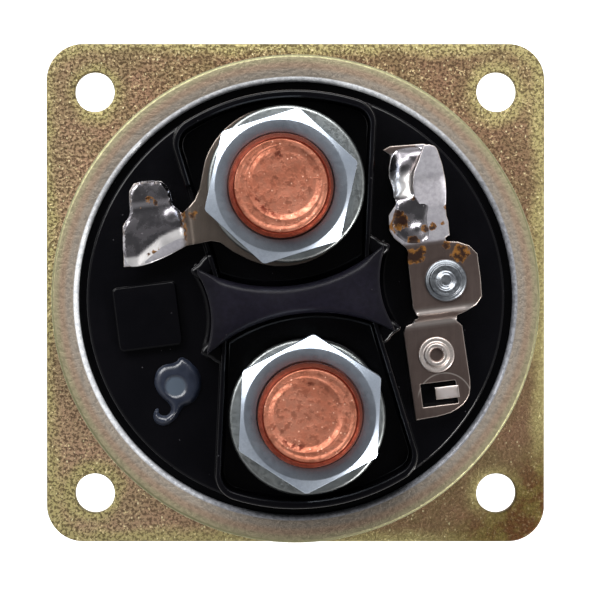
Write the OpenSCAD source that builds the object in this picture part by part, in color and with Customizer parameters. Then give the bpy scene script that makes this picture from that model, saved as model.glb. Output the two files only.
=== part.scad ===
// Flange-mounted starter relay. A steel can on a square flange holds two windings, a sliding
// plunger and a fixed core. A moulded cap closes the can and carries two copper studs, which a
// contact disc bridges when the plunger is drawn in. The mounting face lies on z = 0 with the
// can's axis through the origin, and the terminals point along +Z. Millimetres.

/* [Flange] */
// Side of the square mounting flange
flange_side = 63; // [61.5:0.5:70]
// Thickness of the flange
flange_t = 3; // [2:0.1:4]
// Radius of the flange's corners
flange_corner_r = 4.6; // [2:0.1:6]
// Distance from the flange's edges to the middle of a mounting hole
hole_inset = 6.1; // [5:0.1:6.3]
// Diameter of a mounting hole
hole_d = 5; // [4:0.1:5.5]

/* [Can] */
// Outside diameter of the can
can_d = 57.2; // [56.4:0.1:58.6]
// Wall of the can, and of its rolled lip
can_wall = 1.8; // [1.4:0.1:2]
// How far the rolled lip reaches in over the cap's shoulder
lip_reach = 1.4; // [0.6:0.1:1.6]
// Outside radius of the rolled corner
lip_corner_r = 1.7; // [0.6:0.1:1.8]
// Depth of the groove in the flange that locates the can
can_groove_h = 0.6; // [0.3:0.1:1]

/* [Coil] */
// Height of the bobbin over its flanges
bobbin_h = 33; // [31:0.5:36]
// Thickness of a bobbin flange
bobbin_flange_t = 1.5; // [1.4:0.1:2]
// Wall of the bobbin's tube
bobbin_wall = 1.3; // [1:0.1:1.8]
// Radial build of the inner, pull-in winding
pull_in_t = 6.9; // [5.5:0.1:7.5]
// Thickness of the wrap round the outer, hold-in winding
wrap_t = 0.4; // [0.2:0.1:0.8]
// Wall of the brass guide tube
guide_wall = 0.6; // [0.4:0.1:0.8]
// Thickness of the core plate
core_plate_t = 3; // [2:0.1:4]
// Thickness of the cap gasket
gasket_t = 0.8; // [0.6:0.1:1.2]

/* [Plunger] */
// Diameter of the plunger
plunger_d = 18; // [17:0.1:18.5]
// Length of the plunger
plunger_l = 38.5; // [36:0.5:45]
// Stroke of the plunger
travel = 11; // [9:0.1:12]
// Width of the plunger across the flats of its fork
fork_w = 15; // [13:0.1:16]
// Width of the slot in the fork
fork_slot_w = 6; // [5:0.1:7]
// Depth of the slot in the fork
fork_slot_h = 14; // [12.5:0.1:14.5]
// Diameter of the cross hole in the fork
fork_hole_d = 6; // [4:0.1:6.5]
// Diameter of the spring pocket in the plunger's inner end
pocket_d = 10.8; // [10.5:0.1:12]
// Depth of the spring pocket
pocket_h = 10; // [8.5:0.1:11]

/* [Cap] */
// How far the terminal cap is turned on the flange, in degrees
cap_clock = 7.2; // [-10:0.1:10]
// Height of the cap's skirt, up to the shoulder that the lip holds
cap_skirt_h = 8.9; // [8.4:0.1:11]
// Diameter of the cap above its shoulder
cap_d = 48.9; // [48:0.1:49.4]
// Wall of the cap's skirt round the contact chamber
cap_skirt_wall = 3.3; // [2.8:0.1:3.5]
// Thickness of the cap's floor over the contact chamber
cap_roof_t = 3.5; // [3:0.1:4]
// Height of the cap's floor over the rolled lip
floor_rise = 0.5; // [0.4:0.1:1.5]
// Height of the walls round the two stud bays, over the floor
bay_wall_h = 5.5; // [4.5:0.1:6.5]
// Thickness of those walls
bay_wall_t = 0.9; // [0.7:0.1:1.2]
// Height of the barrier between the studs, over the floor
barrier_h = 7.5; // [6.6:0.1:9]
// Length of the barrier, from ear to ear
barrier_l = 23; // [22:0.1:24]
// Breadth of the barrier at its ears
barrier_w = 11; // [10:0.1:11.6]
// Length of the barrier at its waist
barrier_waist_l = 19.8; // [19:0.1:20.4]
// Breadth of the barrier at its waist
barrier_waist_w = 3.3; // [2.6:0.1:4]

/* [Studs] */
// Distance between the two studs
stud_spacing = 26.5; // [26.1:0.1:27]
// Diameter of a stud
stud_d = 12; // [11.5:0.1:12.2]
// Length of a stud above the floor of the cap
stud_rise = 14.5; // [13.5:0.1:18]
// Diameter of a stud's head
stud_head_d = 15; // [14:0.1:15.2]
// Thickness of a stud's head
stud_head_t = 3.35; // [2.8:0.05:3.6]
// Height of the bosses that the studs pass through
stud_boss_h = 3; // [2.4:0.1:3.4]
// Diameter of those bosses
stud_boss_d = 17.6; // [16.5:0.1:17.8]
// Nut size across its flats
nut_flats = 16; // [15:0.1:16.4]
// Height of a nut
nut_h = 5.5; // [4:0.1:6.5]
// Diameter of a washer
washer_d = 18.3; // [17.6:0.1:18.6]
// Thickness of a washer
washer_t = 1.6; // [1:0.1:2]

/* [Contacts] */
// Diameter of the contact disc
disc_d = 31; // [28:0.1:32]
// Thickness of the contact disc
disc_t = 2; // [1.5:0.1:2.2]
// Open gap between the disc and the stud heads
contact_gap = 2.4; // [2:0.1:2.8]
// Extra travel of the rod after the disc has met the heads
over_travel = 1.05; // [0.6:0.05:1.2]
// Diameter of the contact rod
rod_d = 3.2; // [2.8:0.1:3.6]
// Height of the contact spring at rest
contact_spring_h = 8; // [7:0.1:9]

/* [Side terminals] */
// Thickness of the sheet that the signal strip and the motor lug are cut from
sheet_t = 0.8; // [0.6:0.1:1]
// Width of the signal strip's pad
pad_w = 8.2; // [7.4:0.1:8.6]
// Length of the signal strip's pad
pad_l = 8.2; // [7.6:0.1:8.6]
// Width of the signal strip's tongue
tongue_w = 6.9; // [6.6:0.1:7.1]
// Length of the signal strip's tongue
tongue_l = 10.9; // [10.4:0.1:11.2]
// Height of the boss under the tongue
tongue_boss_h = 1.2; // [1.1:0.1:1.6]
// Outside diameter of the motor lug's ring
lug_ring_d = 18.7; // [18:0.1:19]
// Width of the motor lug's tab
tab_w = 7.6; // [7:0.1:7.8]
// Length of the motor lug's tab, with its ear
tab_l = 9.7; // [9.3:0.1:10]
// Diameter of a winding lead
lead_d = 1.2; // [0.9:0.05:1.25]

/* [Hidden] */
$fn = 96;

// Clearances that the fits share
fit_gap = 0.05;    // radial gap between two fixed pieces
run_gap = 0.08;    // radial gap between a sliding piece and its guide
stack_gap = 0.1;   // gap round the windings, and round the plate and the cap in the can
touch_gap = 0.05;  // gap left where a moving piece stops against a fixed one
cut = 1;           // how far a cut runs past the face that it opens

// Mounting holes
hole_spacing = flange_side - 2 * hole_inset;

// Radii from the plunger outwards
plunger_r = plunger_d / 2;
guide_in_r = plunger_r + run_gap;
guide_out_r = guide_in_r + guide_wall;
guide_end_gap = 0.2;
bobbin_in_r = guide_out_r + fit_gap;
bobbin_tube_r = bobbin_in_r + bobbin_wall;
can_r = can_d / 2;
can_in_r = can_r - can_wall;
lip_in_r = can_in_r - lip_reach;
plate_r = can_in_r - stack_gap;
bobbin_r = can_in_r - 4 * stack_gap;
wrap_inset = 1.4;
wrap_r = bobbin_r - wrap_inset;
pull_in_r = bobbin_tube_r + stack_gap + pull_in_t;
hold_in_r = wrap_r - wrap_t - stack_gap;
chamber_r = plate_r - cap_skirt_wall;
cap_r = cap_d / 2;

// Heights from the flange upwards
can_z = flange_t - can_groove_h;
plate_z = flange_t + bobbin_h;
gasket_z = plate_z + core_plate_t;
cap_z = gasket_z + gasket_t;
lip_z = cap_z + cap_skirt_h;
lip_top_z = lip_z + can_wall;
lip_bevel = 0.7;
floor_z = lip_top_z + floor_rise;
roof_z = floor_z - cap_roof_t;

// Studs, and what is clamped on them
head_recess_h = 0.6;
head_flat_share = 0.87;     // width across a head's flats, as a share of its diameter
head_z = roof_z + head_recess_h - stud_head_t;
stud_y = stud_spacing / 2;
stud_top_z = floor_z + stud_rise;
stud_boss_z = floor_z + stud_boss_h;
stud_chamfer = 0.55;
dimple_share = 0.67;        // diameter of a stud's dished end, as a share of the stud's
dimple_h = 0.6;
thread_share = 0.945;       // pitch diameter of the thread inside a nut, as a share of the stud's
washer_slack = 0.65;        // how far a washer lies off its stud's axis
motor_washer_turn = 17;
battery_washer_turn = 234;
motor_nut_turn = 10.3;
battery_nut_turn = 20.2;
nut_circle_share = 0.953;   // diameter of a nut's end circle, as a share of its flats
nut_slope = 0.5;            // drop of a nut's chamfer for each millimetre outwards

// Contact stack, from the stud heads downwards
disc_top_z = head_z - contact_gap;
disc_z = disc_top_z - disc_t;
disc_r = disc_d / 2;
insulator_t = 1;
insulator_d = 13;
insulator_z = disc_z - insulator_t;
seat_t = 1;
seat_d = 11.2;
seat_z = insulator_z - contact_spring_h - seat_t;
collar_t = 0.8;
collar_d = 5.2;
collar_z = seat_z - collar_t;
bush_hub_d = 6.8;
bush_flange_d = 9.6;
bush_flange_t = 0.8;
clip_t = 0.6;
clip_d = 6;
clip_slot_w = 2;
groove_d = 2.4;
clip_z = disc_top_z + bush_flange_t;
clip_top_z = clip_z + clip_t;
rod_r = rod_d / 2;
rod_bore_r = rod_r + run_gap;
rod_tip_h = 1.2;
rod_chamfer = 0.4;
rod_top_z = clip_top_z + rod_tip_h;
rod_lift = contact_gap - touch_gap + over_travel;

// Fixed core, and the plunger that it draws in
core_well_d = 14;
core_well_z = collar_z - touch_gap;
core_floor_t = 3.5;
core_face_z = core_well_z - core_floor_t;
core_lip_w = 1.2;
core_lip_t = 0.6;
air_gap = 0.3;
plunger_top_z = core_face_z - air_gap - travel;
plunger_z = plunger_top_z - plunger_l;
plunger_chamfer = 0.8;
pocket_z = plunger_top_z - pocket_h;
fork_h = 18;
fork_hole_rise = 6;
fork_hole_z = plunger_z + fork_hole_rise;
rod_z = pocket_z + travel - rod_lift + 2 * touch_gap;

// Springs: outside diameter, wire diameter and number of turns
return_spring_d = 10;
return_wire_d = 1.1;
return_turns = 7;
contact_spring_d = 10;
contact_wire_d = 1;
contact_turns = 4;
rod_spring_d = 5.8;
rod_wire_d = 0.5;
rod_turns = 4;
wire_sides = 6;
rings_per_turn = 8;
rod_well_d = 7;
rod_well_roof_t = 1.2;
rod_well_z = floor_z - rod_well_roof_t;

// Cap: stud bays, barrier and bosses, in the cap's own axes
floor_chamfer = 0.3;
bay_in_r = cap_r - floor_chamfer / 2 - bay_wall_t;
bay_side_share = 0.329;     // distance of a bay's side from the axis, as a share of bay_in_r
bay_side = bay_side_share * bay_in_r;
bay_lean = 10.9;            // how far a bay's side leans outwards, in degrees
bay_corner_r = 2.2;
bay_start_share = 0.27;     // where the bay walls start, as a share of the barrier's breadth
corner_steps = 8;
rim_steps = 36;
ear_flat = 0.4;
ear_sagitta = (barrier_l - barrier_waist_l) / 2;
ear_r = (pow(barrier_w / 2, 2) + pow(ear_sagitta, 2)) / (2 * ear_sagitta);
side_sagitta = (barrier_w - barrier_waist_w) / 2;
side_r = (pow(barrier_l / 2, 2) + pow(side_sagitta, 2)) / (2 * side_sagitta);
blank_boss_w = 7.3;
blank_boss_h = 1.2;
blank_boss_at = [-17.4, 0.15];
boss_inset = 0.8;           // how far a boss stays inside the pad that it carries

// Signal strip: pad, tongue and folded flag, in the cap's own axes
pad_z = floor_z + stud_boss_h;
pad_at = [17.55, 0.2];
pad_share = [
  [-0.46, 0.45], [-0.5, 0.37], [-0.5, -0.36], [-0.45, -0.5], [0.22, -0.5], [0.42, -0.4],
  [0.5, -0.31], [0.5, 0.31], [0.4, 0.43], [0.25, 0.5]
];
tongue_z = floor_z + tongue_boss_h;
tongue_at = [15.55, -4.8];
tongue_corner_r = 4.2;
tongue_boss_share = 0.5;    // length of the boss under the tongue, as a share of the tongue's
joggle_w = 5.6;
joggle_at = [15.9, -4.45];
joggle_l = 1;
window_w = 4.15;
window_l = 2.7;
window_in = 0.3;            // how far the window lies inwards of the tongue's middle line
window_down = 8.25;         // how far its middle lies from the tongue's upper end
latch_w = 1.5;
latch_l = 2.5;
latch_drop = 0.9;
flag_w = 7.1;
flag_l = 12.2;
flag_at = [15.45, 4];
flag_share = [
  [-0.25, -0.08], [0.34, -0.08], [0.35, 0.06], [0.46, 0.1], [0.46, 0.23], [0.41, 0.26],
  [0.42, 0.34], [0.46, 0.4], [0.5, 0.61], [0.47, 0.77], [0.43, 0.92], [0.39, 0.95],
  [0.2, 0.99], [-0.33, 1], [-0.45, 0.97], [-0.4, 0.81], [-0.4, 0.72], [-0.34, 0.44],
  [-0.5, 0.37], [-0.5, 0.2], [-0.45, 0.12]
];
fold_share = [
  [0.42, 0.42], [0.46, 0.42], [0.5, 0.61], [0.47, 0.77], [0.43, 0.92], [0.2, 0.97],
  [0.04, 0.75], [-0.02, 0.58], [0.02, 0.42]
];
fold_gap = 0.8;

// Rivets: head, shank, and the tail under the cap's roof
signal_rivet_at = [17.6, 0];
signal_rivet_d = 4.9;
signal_rivet_h = 0.85;
signal_shank_d = 3.2;
rivet_crown_share = 0.74;   // diameter of a rivet's raised crown, as a share of its head's
rivet_crown_h = 0.25;
eyelet_at = [15.5, -8.5];
eyelet_d = 4.2;
eyelet_h = 0.6;
eyelet_shank_d = 2.8;
eyelet_bore_d = 1.45;
tail_d = 4.6;
tail_h = 0.9;

// Motor lug: neck and tab, in the cap's own axes
lug_z = stud_boss_z;
lug_ring_r = lug_ring_d / 2;
lug_hole_gap = 0.3;
neck_share = [
  [0.53, -0.85], [0.7, -0.73], [0.84, -0.6], [0.93, -0.56], [1.1, -0.58], [1.3, -0.58],
  [1.3, -0.18], [1.18, -0.12], [1.04, 0.03], [0.995, 0.19], [0.89, 0.43]
];
tab_at = [-11.75, 6.1];
tab_share = [
  [0, 0.17], [0, 0.56], [0.1, 0.62], [0.17, 0.67], [0.15, 0.78], [0.19, 0.9], [0.27, 0.98],
  [0.58, 1], [0.69, 0.99], [0.79, 0.84], [0.79, 0.59], [0.94, 0.51], [1, 0.01], [0.7, 0],
  [0.26, 0.09]
];
tab_drop = 0.9;
tab_joggle_l = 0.8;
tab_z = lug_z - tab_drop;
notch_gap = 0.3;
notch_share = [-0.72, 0.14]; // foot and head of the notch from the stud, as shares of lug_ring_r

// Winding leads, their sleeves, and the bead that earths the outer winding
lead_r = lead_d / 2;
sleeve_wall = 0.35;
sleeve_r = lead_r + fit_gap + sleeve_wall;
motor_lead_at = [-15.4, 14.1];
signal_lead_share = [[-0.218, 0.787], [0.12, 0.787]]; // their places on the flag
signal_in_at = flag_at + [flag_w * signal_lead_share[0].x, flag_l * signal_lead_share[0].y];
signal_out_at = flag_at + [flag_w * signal_lead_share[1].x, flag_l * signal_lead_share[1].y];
ground_lead_at = [-13, -17];
lead_start = 1;             // how far inside its winding a lead leaves it
lead_bend_z = plate_z - bobbin_flange_t / 2;
lead_end_rise = 0.5;
bead_d = 2.8;
bead_h = 0.6;

// Solder and sealant
solder_h = 0.9;
solder_share = [0.84, 0.9]; // plan of a solder mass, as shares of the piece that it lies on
dome_share = [[1, 0.3], [0.8, 0.62], [0.55, 0.86], [0.25, 0.98], [0, 1]];
sealant_at = [-15.3, -8.1];
sealant_d = 5.6;
sealant_h = 0.9;
sealant_hole_d = 2.6;

black = [0.07, 0.07, 0.09];
zinc = [0.72, 0.75, 0.78];
copper = [0.85, 0.52, 0.4];
enamel = [0.55, 0.24, 0.12];
tinned = [0.66, 0.6, 0.56];
bright = [0.8, 0.8, 0.79];
steel = [0.6, 0.61, 0.62];
brass = [0.8, 0.66, 0.36];

// Points of an arc round a centre
function arc(centre, r, from, to, steps) =
  [for (i = [0:steps]) let (a = from + (to - from) * i / steps) centre + r * [cos(a), sin(a)]];

// An outline given in shares of a width and a length, placed from a point
function outline(shares, w, l, at) = [for (p = shares) [at.x + w * p.x, at.y + l * p.y]];

// Corner centre of a stud bay: bay_corner_r inside both its side and its rim
function bay_corner() =
  let (
    side = bay_side - bay_corner_r,
    along = sqrt(pow(bay_in_r - bay_corner_r, 2) - pow(side, 2))
  )
  [side * cos(bay_lean) + along * sin(bay_lean), along * cos(bay_lean) - side * sin(bay_lean)];

// Outline of a stud bay grown by d: leaning sides, round corners and an arc along the rim
function bay_outline(d, foot) =
  let (
    corner = bay_corner(),
    turn = atan2(corner.y, corner.x),
    foot_x = (bay_side + d + foot * sin(bay_lean)) / cos(bay_lean)
  )
  concat(
    [[foot_x, foot]],
    arc(corner, bay_corner_r + d, -bay_lean, turn, corner_steps),
    arc([0, 0], bay_in_r + d, turn, 180 - turn, rim_steps),
    arc([-corner.x, corner.y], bay_corner_r + d, 180 - turn, 180 + bay_lean, corner_steps),
    [[-foot_x, foot]]
  );

// Centre line of a spring: closed end turns, and an even pitch between them
function spring_z(turn, turns, low, high, wire) =
  let (end_pitch = wire + closed_gap, pitch = (high - low - 2 * end_pitch) / (turns - 2))
  turn < 1 ? low + end_pitch * turn
  : turn > turns - 1 ? high - end_pitch * (turns - turn)
  : low + end_pitch + pitch * (turn - 1);
closed_gap = 0.45;

// Ring from z upwards, h high
module ring(r_out, r_in, z, h) {
  translate([0, 0, z]) difference() {
    cylinder(r = r_out, h = h);
    translate([0, 0, -cut]) cylinder(r = r_in, h = h + 2 * cut);
  }
}

// Turns its children with the cap
module on_cap() {
  rotate([0, 0, cap_clock]) children();
}

// A round wire wound on a cylinder, from seat to seat, as one closed tube
module spring(d, wire, turns, from_z, to_z) {
  mean_r = (d - wire) / 2;
  low = from_z + wire / 2 + touch_gap;
  high = to_z - wire / 2 - touch_gap;
  rings = turns * rings_per_turn;
  points = [
    for (i = [0:rings]) let (turn = i / rings_per_turn, z = spring_z(turn, turns, low, high, wire))
      for (k = [0:wire_sides - 1]) let (
        side = 360 * (k + 1 / 2) / wire_sides,
        r = mean_r + wire / 2 * cos(side)
      )
        [r * cos(360 * turn), r * sin(360 * turn), z + wire / 2 * sin(side)]
  ];
  faces = concat(
    [[for (k = [0:wire_sides - 1]) k]],
    [for (i = [0:rings - 1], k = [0:wire_sides - 1]) let (next = (k + 1) % wire_sides)
      each [
        [i * wire_sides + k, (i + 1) * wire_sides + k, (i + 1) * wire_sides + next],
        [i * wire_sides + k, (i + 1) * wire_sides + next, i * wire_sides + next]
      ]],
    [[for (k = [wire_sides - 1:-1:0]) rings * wire_sides + k]]
  );
  polyhedron(points = points, faces = faces);
}

// Square plate with round corners
module flange_blank() {
  core = flange_side - 2 * flange_corner_r;
  for (size = [[flange_side, core], [core, flange_side]])
    translate([-size.x / 2, -size.y / 2, 0]) cube([size.x, size.y, flange_t]);
  for (x = [-1, 1], y = [-1, 1])
    translate([x * core / 2, y * core / 2, 0]) cylinder(r = flange_corner_r, h = flange_t);
}

module flange_plate() {
  color([0.66, 0.6, 0.42]) difference() {
    flange_blank();
    for (x = [-1, 1], y = [-1, 1])
      translate([x * hole_spacing / 2, y * hole_spacing / 2, -cut])
        cylinder(d = hole_d, h = flange_t + 2 * cut);
    translate([0, 0, -cut]) cylinder(r = guide_out_r + fit_gap, h = flange_t + 2 * cut);
    ring(can_r + fit_gap, can_in_r - fit_gap, can_z, can_groove_h + cut);
  }
}

module can_shell() {
  roll = arc([can_r - lip_corner_r, lip_top_z - lip_corner_r], lip_corner_r, 0, 90, corner_steps);
  color([0.72, 0.66, 0.58]) rotate_extrude()
    polygon(concat(
      [[can_in_r, can_z], [can_r, can_z]],
      roll,
      [
        [lip_in_r + lip_bevel, lip_top_z], [lip_in_r, lip_top_z - lip_bevel / 2],
        [lip_in_r, lip_z], [can_in_r, lip_z]
      ]
    ));
}

module guide_tube() {
  color(brass) ring(guide_out_r, guide_in_r, guide_end_gap, plate_z - 2 * guide_end_gap);
}

module bobbin() {
  color([0.86, 0.84, 0.78]) difference() {
    union() {
      ring(bobbin_tube_r, bobbin_in_r, flange_t, bobbin_h);
      for (z = [flange_t, plate_z - bobbin_flange_t])
        ring(bobbin_r, bobbin_tube_r - fit_gap, z, bobbin_flange_t);
    }
    on_cap() {
      lead_slot(motor_lead_at, pull_in_r);
      lead_slot(signal_in_at, bobbin_tube_r + 2 * lead_start);
      lead_slot(signal_out_at, hold_in_r);
      lead_slot(ground_lead_at, hold_in_r);
    }
  }
}

// Radial slot in the bobbin's upper flange that a lead leaves through
module lead_slot(at, from_r) {
  low = min(from_r, norm(at)) - 2 * lead_d;
  high = max(from_r, norm(at)) + lead_d;
  rotate([0, 0, atan2(at.y, at.x)])
    translate([low, -lead_r - stack_gap, plate_z - bobbin_flange_t - cut])
      cube([high - low, lead_d + 2 * stack_gap, bobbin_flange_t + 2 * cut]);
}

module winding(r_out, r_in) {
  color(enamel)
    ring(r_out, r_in, flange_t + bobbin_flange_t + stack_gap,
         bobbin_h - 2 * bobbin_flange_t - 2 * stack_gap);
}

module pull_in_winding() {
  winding(pull_in_r, bobbin_tube_r + stack_gap);
}

module hold_in_winding() {
  winding(hold_in_r, pull_in_r + stack_gap);
}

module coil_wrap() {
  color([0.2, 0.22, 0.2])
    ring(wrap_r, hold_in_r + stack_gap, flange_t + bobbin_flange_t + stack_gap,
         bobbin_h - 2 * bobbin_flange_t - 2 * stack_gap);
}

module core_plate() {
  color(steel) difference() {
    ring(plate_r, plunger_r + fit_gap, plate_z, core_plate_t);
    on_cap() {
      sleeve_holes(plate_z, core_plate_t);
      translate([ground_lead_at.x, ground_lead_at.y, plate_z - cut])
        cylinder(r = lead_r + fit_gap, h = core_plate_t + 2 * cut);
    }
  }
}

module fixed_core() {
  color(steel) difference() {
    union() {
      translate([0, 0, core_face_z]) cylinder(r = plunger_r, h = gasket_z - core_face_z);
      translate([0, 0, gasket_z]) cylinder(r = plunger_r + core_lip_w, h = core_lip_t);
    }
    translate([0, 0, core_well_z]) cylinder(d = core_well_d, h = gasket_z - core_well_z + cut);
    translate([0, 0, core_face_z - cut]) cylinder(r = rod_bore_r, h = core_floor_t + 2 * cut);
  }
}

// Lead that runs along the bobbin's flange from a winding and then straight up
module lead(at, from_r, top_z) {
  reach = norm(at);
  rotate([0, 0, atan2(at.y, at.x)]) {
    translate([min(from_r, reach), 0, lead_bend_z])
      rotate([0, 90, 0]) cylinder(r = lead_r, h = abs(reach - from_r));
    translate([reach, 0, lead_bend_z]) sphere(r = lead_r);
    translate([reach, 0, lead_bend_z]) cylinder(r = lead_r, h = top_z - lead_bend_z);
  }
}

module ground_lead() {
  color(enamel) on_cap() {
    lead(ground_lead_at, hold_in_r - lead_start, gasket_z + bead_h);
    translate([ground_lead_at.x, ground_lead_at.y, gasket_z]) cylinder(d = bead_d, h = bead_h);
  }
}

module cap_gasket() {
  color([0.25, 0.25, 0.25]) ring(plate_r, chamber_r + stack_gap, gasket_z, gasket_t);
}

module sleeve_holes(z, h) {
  for (at = [motor_lead_at, signal_in_at, signal_out_at])
    translate([at.x, at.y, z - cut]) cylinder(r = sleeve_r + fit_gap, h = h + 2 * cut);
}

// Thin wall that follows a stud bay's sides and its stretch of the rim
module bay_wall() {
  foot = bay_start_share * barrier_w;
  translate([0, 0, floor_z - cut]) difference() {
    linear_extrude(bay_wall_h + cut) polygon(bay_outline(bay_wall_t, foot));
    translate([0, 0, -cut]) linear_extrude(bay_wall_h + 3 * cut) polygon(bay_outline(0, foot - cut));
  }
}

// Waisted block between the studs, hollowed on all four sides
module barrier() {
  length = barrier_l - 2 * ear_flat;
  translate([0, 0, floor_z - cut]) difference() {
    translate([-length / 2, -barrier_w / 2, 0]) cube([length, barrier_w, barrier_h + cut]);
    for (turn = [0, 180]) rotate([0, 0, turn]) translate([0, 0, -cut]) {
      translate([barrier_waist_l / 2 + ear_r, 0, 0]) cylinder(r = ear_r, h = barrier_h + 3 * cut);
      translate([0, barrier_waist_w / 2 + side_r, 0]) cylinder(r = side_r, h = barrier_h + 3 * cut);
    }
  }
}

// Square boss on the floor, centred on a point
module floor_boss(at, w, l, h) {
  translate([at.x - w / 2, at.y - l / 2, floor_z - cut]) cube([w, l, h + cut]);
}

// A stud's head with its two flats, grown by g on every side
module stud_head(z, h, g) {
  translate([0, 0, z]) intersection() {
    cylinder(d = stud_head_d + 2 * g, h = h);
    translate([-stud_head_d, -head_flat_share * stud_head_d / 2 - g, 0])
      cube([2 * stud_head_d, head_flat_share * stud_head_d + 2 * g, h]);
  }
}

// Notch in a bay wall that the motor lug's neck passes through
module lug_notch() {
  foot = stud_y + notch_share[0] * lug_ring_r;
  head = stud_y + notch_share[1] * lug_ring_r;
  translate([tab_at.x - notch_gap, foot, tab_z - notch_gap])
    cube([bay_side - tab_at.x, head - foot, bay_wall_h + cut]);
}

module terminal_cap() {
  color(black) on_cap() difference() {
    union() {
      rotate_extrude() polygon([
        [0, roof_z], [chamber_r, roof_z], [chamber_r, cap_z], [plate_r, cap_z], [plate_r, lip_z],
        [cap_r, lip_z], [cap_r, floor_z - floor_chamfer], [cap_r - floor_chamfer, floor_z],
        [0, floor_z]
      ]);
      for (turn = [0, 180]) rotate([0, 0, turn]) {
        bay_wall();
        translate([0, stud_y, floor_z - cut]) cylinder(d = stud_boss_d, h = stud_boss_h + cut);
      }
      barrier();
      floor_boss(blank_boss_at, blank_boss_w, blank_boss_w, blank_boss_h);
      floor_boss(pad_at, pad_w - 2 * boss_inset, pad_l - 2 * boss_inset, stud_boss_h);
      floor_boss(
        tongue_at - [0, boss_inset + tongue_l * tongue_boss_share / 2],
        tongue_w - 2 * boss_inset, tongue_l * tongue_boss_share, tongue_boss_h
      );
    }
    for (side = [-1, 1]) translate([0, side * stud_y, 0]) {
      stud_head(roof_z - cut, head_recess_h + cut, fit_gap);
      translate([0, 0, roof_z]) cylinder(d = stud_d + 2 * fit_gap, h = cap_roof_t + stud_boss_h + cut);
    }
    translate([0, 0, roof_z - cut]) cylinder(d = rod_well_d, h = rod_well_z - roof_z + cut);
    sleeve_holes(roof_z, cap_roof_t);
    cap_hole(signal_rivet_at, signal_shank_d + 2 * fit_gap, stud_boss_h);
    cap_hole(eyelet_at, eyelet_shank_d + 2 * fit_gap, tongue_boss_h);
    cap_hole(sealant_at, sealant_hole_d, 0);
    lug_notch();
  }
}

// Hole through the cap's floor and a boss of height h
module cap_hole(at, d, h) {
  translate([at.x, at.y, roof_z - cut]) cylinder(d = d, h = cap_roof_t + h + 2 * cut);
}

module lead_sleeves() {
  color([0.75, 0.72, 0.6]) on_cap()
    for (at = [motor_lead_at, signal_in_at, signal_out_at])
      translate([at.x, at.y, 0]) ring(sleeve_r, lead_r + fit_gap, plate_z, floor_z - plate_z);
}

module motor_lead() {
  color(enamel) on_cap() lead(motor_lead_at, pull_in_r - lead_start, tab_z + sheet_t + lead_end_rise);
}

module signal_leads() {
  top_z = pad_z + sheet_t + lead_end_rise;
  color(enamel) on_cap() {
    lead(signal_in_at, bobbin_tube_r + lead_start, top_z);
    lead(signal_out_at, hold_in_r - lead_start, top_z);
  }
}

// Stud with a flatted head, a chamfered and dished end, and its thread at pitch size in the nut
module stud(nut_z) {
  r = stud_d / 2;
  thread_r = thread_share * r;
  color(copper) {
    stud_head(head_z, stud_head_t, 0);
    rotate_extrude() polygon([
      [0, head_z + stud_head_t - fit_gap], [r, head_z + stud_head_t - fit_gap], [r, nut_z],
      [thread_r, nut_z], [thread_r, nut_z + nut_h], [r, nut_z + nut_h],
      [r, stud_top_z - stud_chamfer], [r - stud_chamfer, stud_top_z],
      [dimple_share * r, stud_top_z], [dimple_share * r - dimple_h / 2, stud_top_z - dimple_h],
      [0, stud_top_z - dimple_h]
    ]);
  }
}

module motor_stud() {
  on_cap() translate([0, stud_y, 0]) stud(lug_z + sheet_t + washer_t);
}

module battery_stud() {
  on_cap() translate([0, -stud_y, 0]) stud(stud_boss_z + washer_t);
}

// Ring round the motor stud, with a neck to the soldered tab
module motor_lug() {
  far = can_r;
  color(tinned) on_cap() difference() {
    intersection() {
      translate([0, 0, tab_z - cut]) union() {
        translate([0, stud_y, 0]) cylinder(r = lug_ring_r, h = tab_drop + sheet_t + 2 * cut);
        linear_extrude(tab_drop + sheet_t + 2 * cut)
          polygon(outline(neck_share, -lug_ring_r, lug_ring_r, [0, stud_y]));
        linear_extrude(tab_drop + sheet_t + 2 * cut)
          polygon(outline(tab_share, -tab_w, tab_l, tab_at));
      }
      translate([0, far, 0]) rotate([90, 0, 0]) linear_extrude(2 * far) polygon([
        [-far, tab_z], [tab_at.x, tab_z], [tab_at.x + tab_joggle_l, lug_z], [far, lug_z],
        [far, lug_z + sheet_t], [tab_at.x + tab_joggle_l, lug_z + sheet_t],
        [tab_at.x, tab_z + sheet_t], [-far, tab_z + sheet_t]
      ]);
    }
    translate([0, stud_y, tab_z]) cylinder(d = stud_d + 2 * lug_hole_gap, h = tab_drop + sheet_t + cut);
    translate([motor_lead_at.x, motor_lead_at.y, tab_z - cut])
      cylinder(r = lead_r + fit_gap, h = sheet_t + 2 * cut);
  }
}

// Washer that lies off its stud's axis by its slack
module washer(side, turn, z) {
  offset_to = washer_slack * [cos(turn), sin(turn)];
  color(zinc) on_cap() translate([offset_to.x, side * stud_y + offset_to.y, 0])
    ring(washer_d / 2, stud_d / 2 + washer_slack + fit_gap, z, washer_t);
}

module motor_washer() {
  washer(1, motor_washer_turn, lug_z + sheet_t);
}

module battery_washer() {
  washer(-1, battery_washer_turn, stud_boss_z);
}

// Hexagon nut, chamfered at both ends
module nut(side, turn, z) {
  corner_r = nut_flats / 2 / cos(30);
  circle_r = nut_circle_share * nut_flats / 2;
  drop = nut_slope * (corner_r + fit_gap - circle_r);
  color(zinc) on_cap() translate([0, side * stud_y, z]) difference() {
    intersection() {
      rotate([0, 0, turn]) cylinder(r = corner_r, h = nut_h, $fn = 6);
      rotate_extrude() polygon([
        [0, 0], [circle_r, 0], [corner_r + fit_gap, drop], [corner_r + fit_gap, nut_h - drop],
        [circle_r, nut_h], [0, nut_h]
      ]);
    }
    translate([0, 0, -cut]) cylinder(r = thread_share * stud_d / 2 + fit_gap, h = nut_h + 2 * cut);
  }
}

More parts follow.
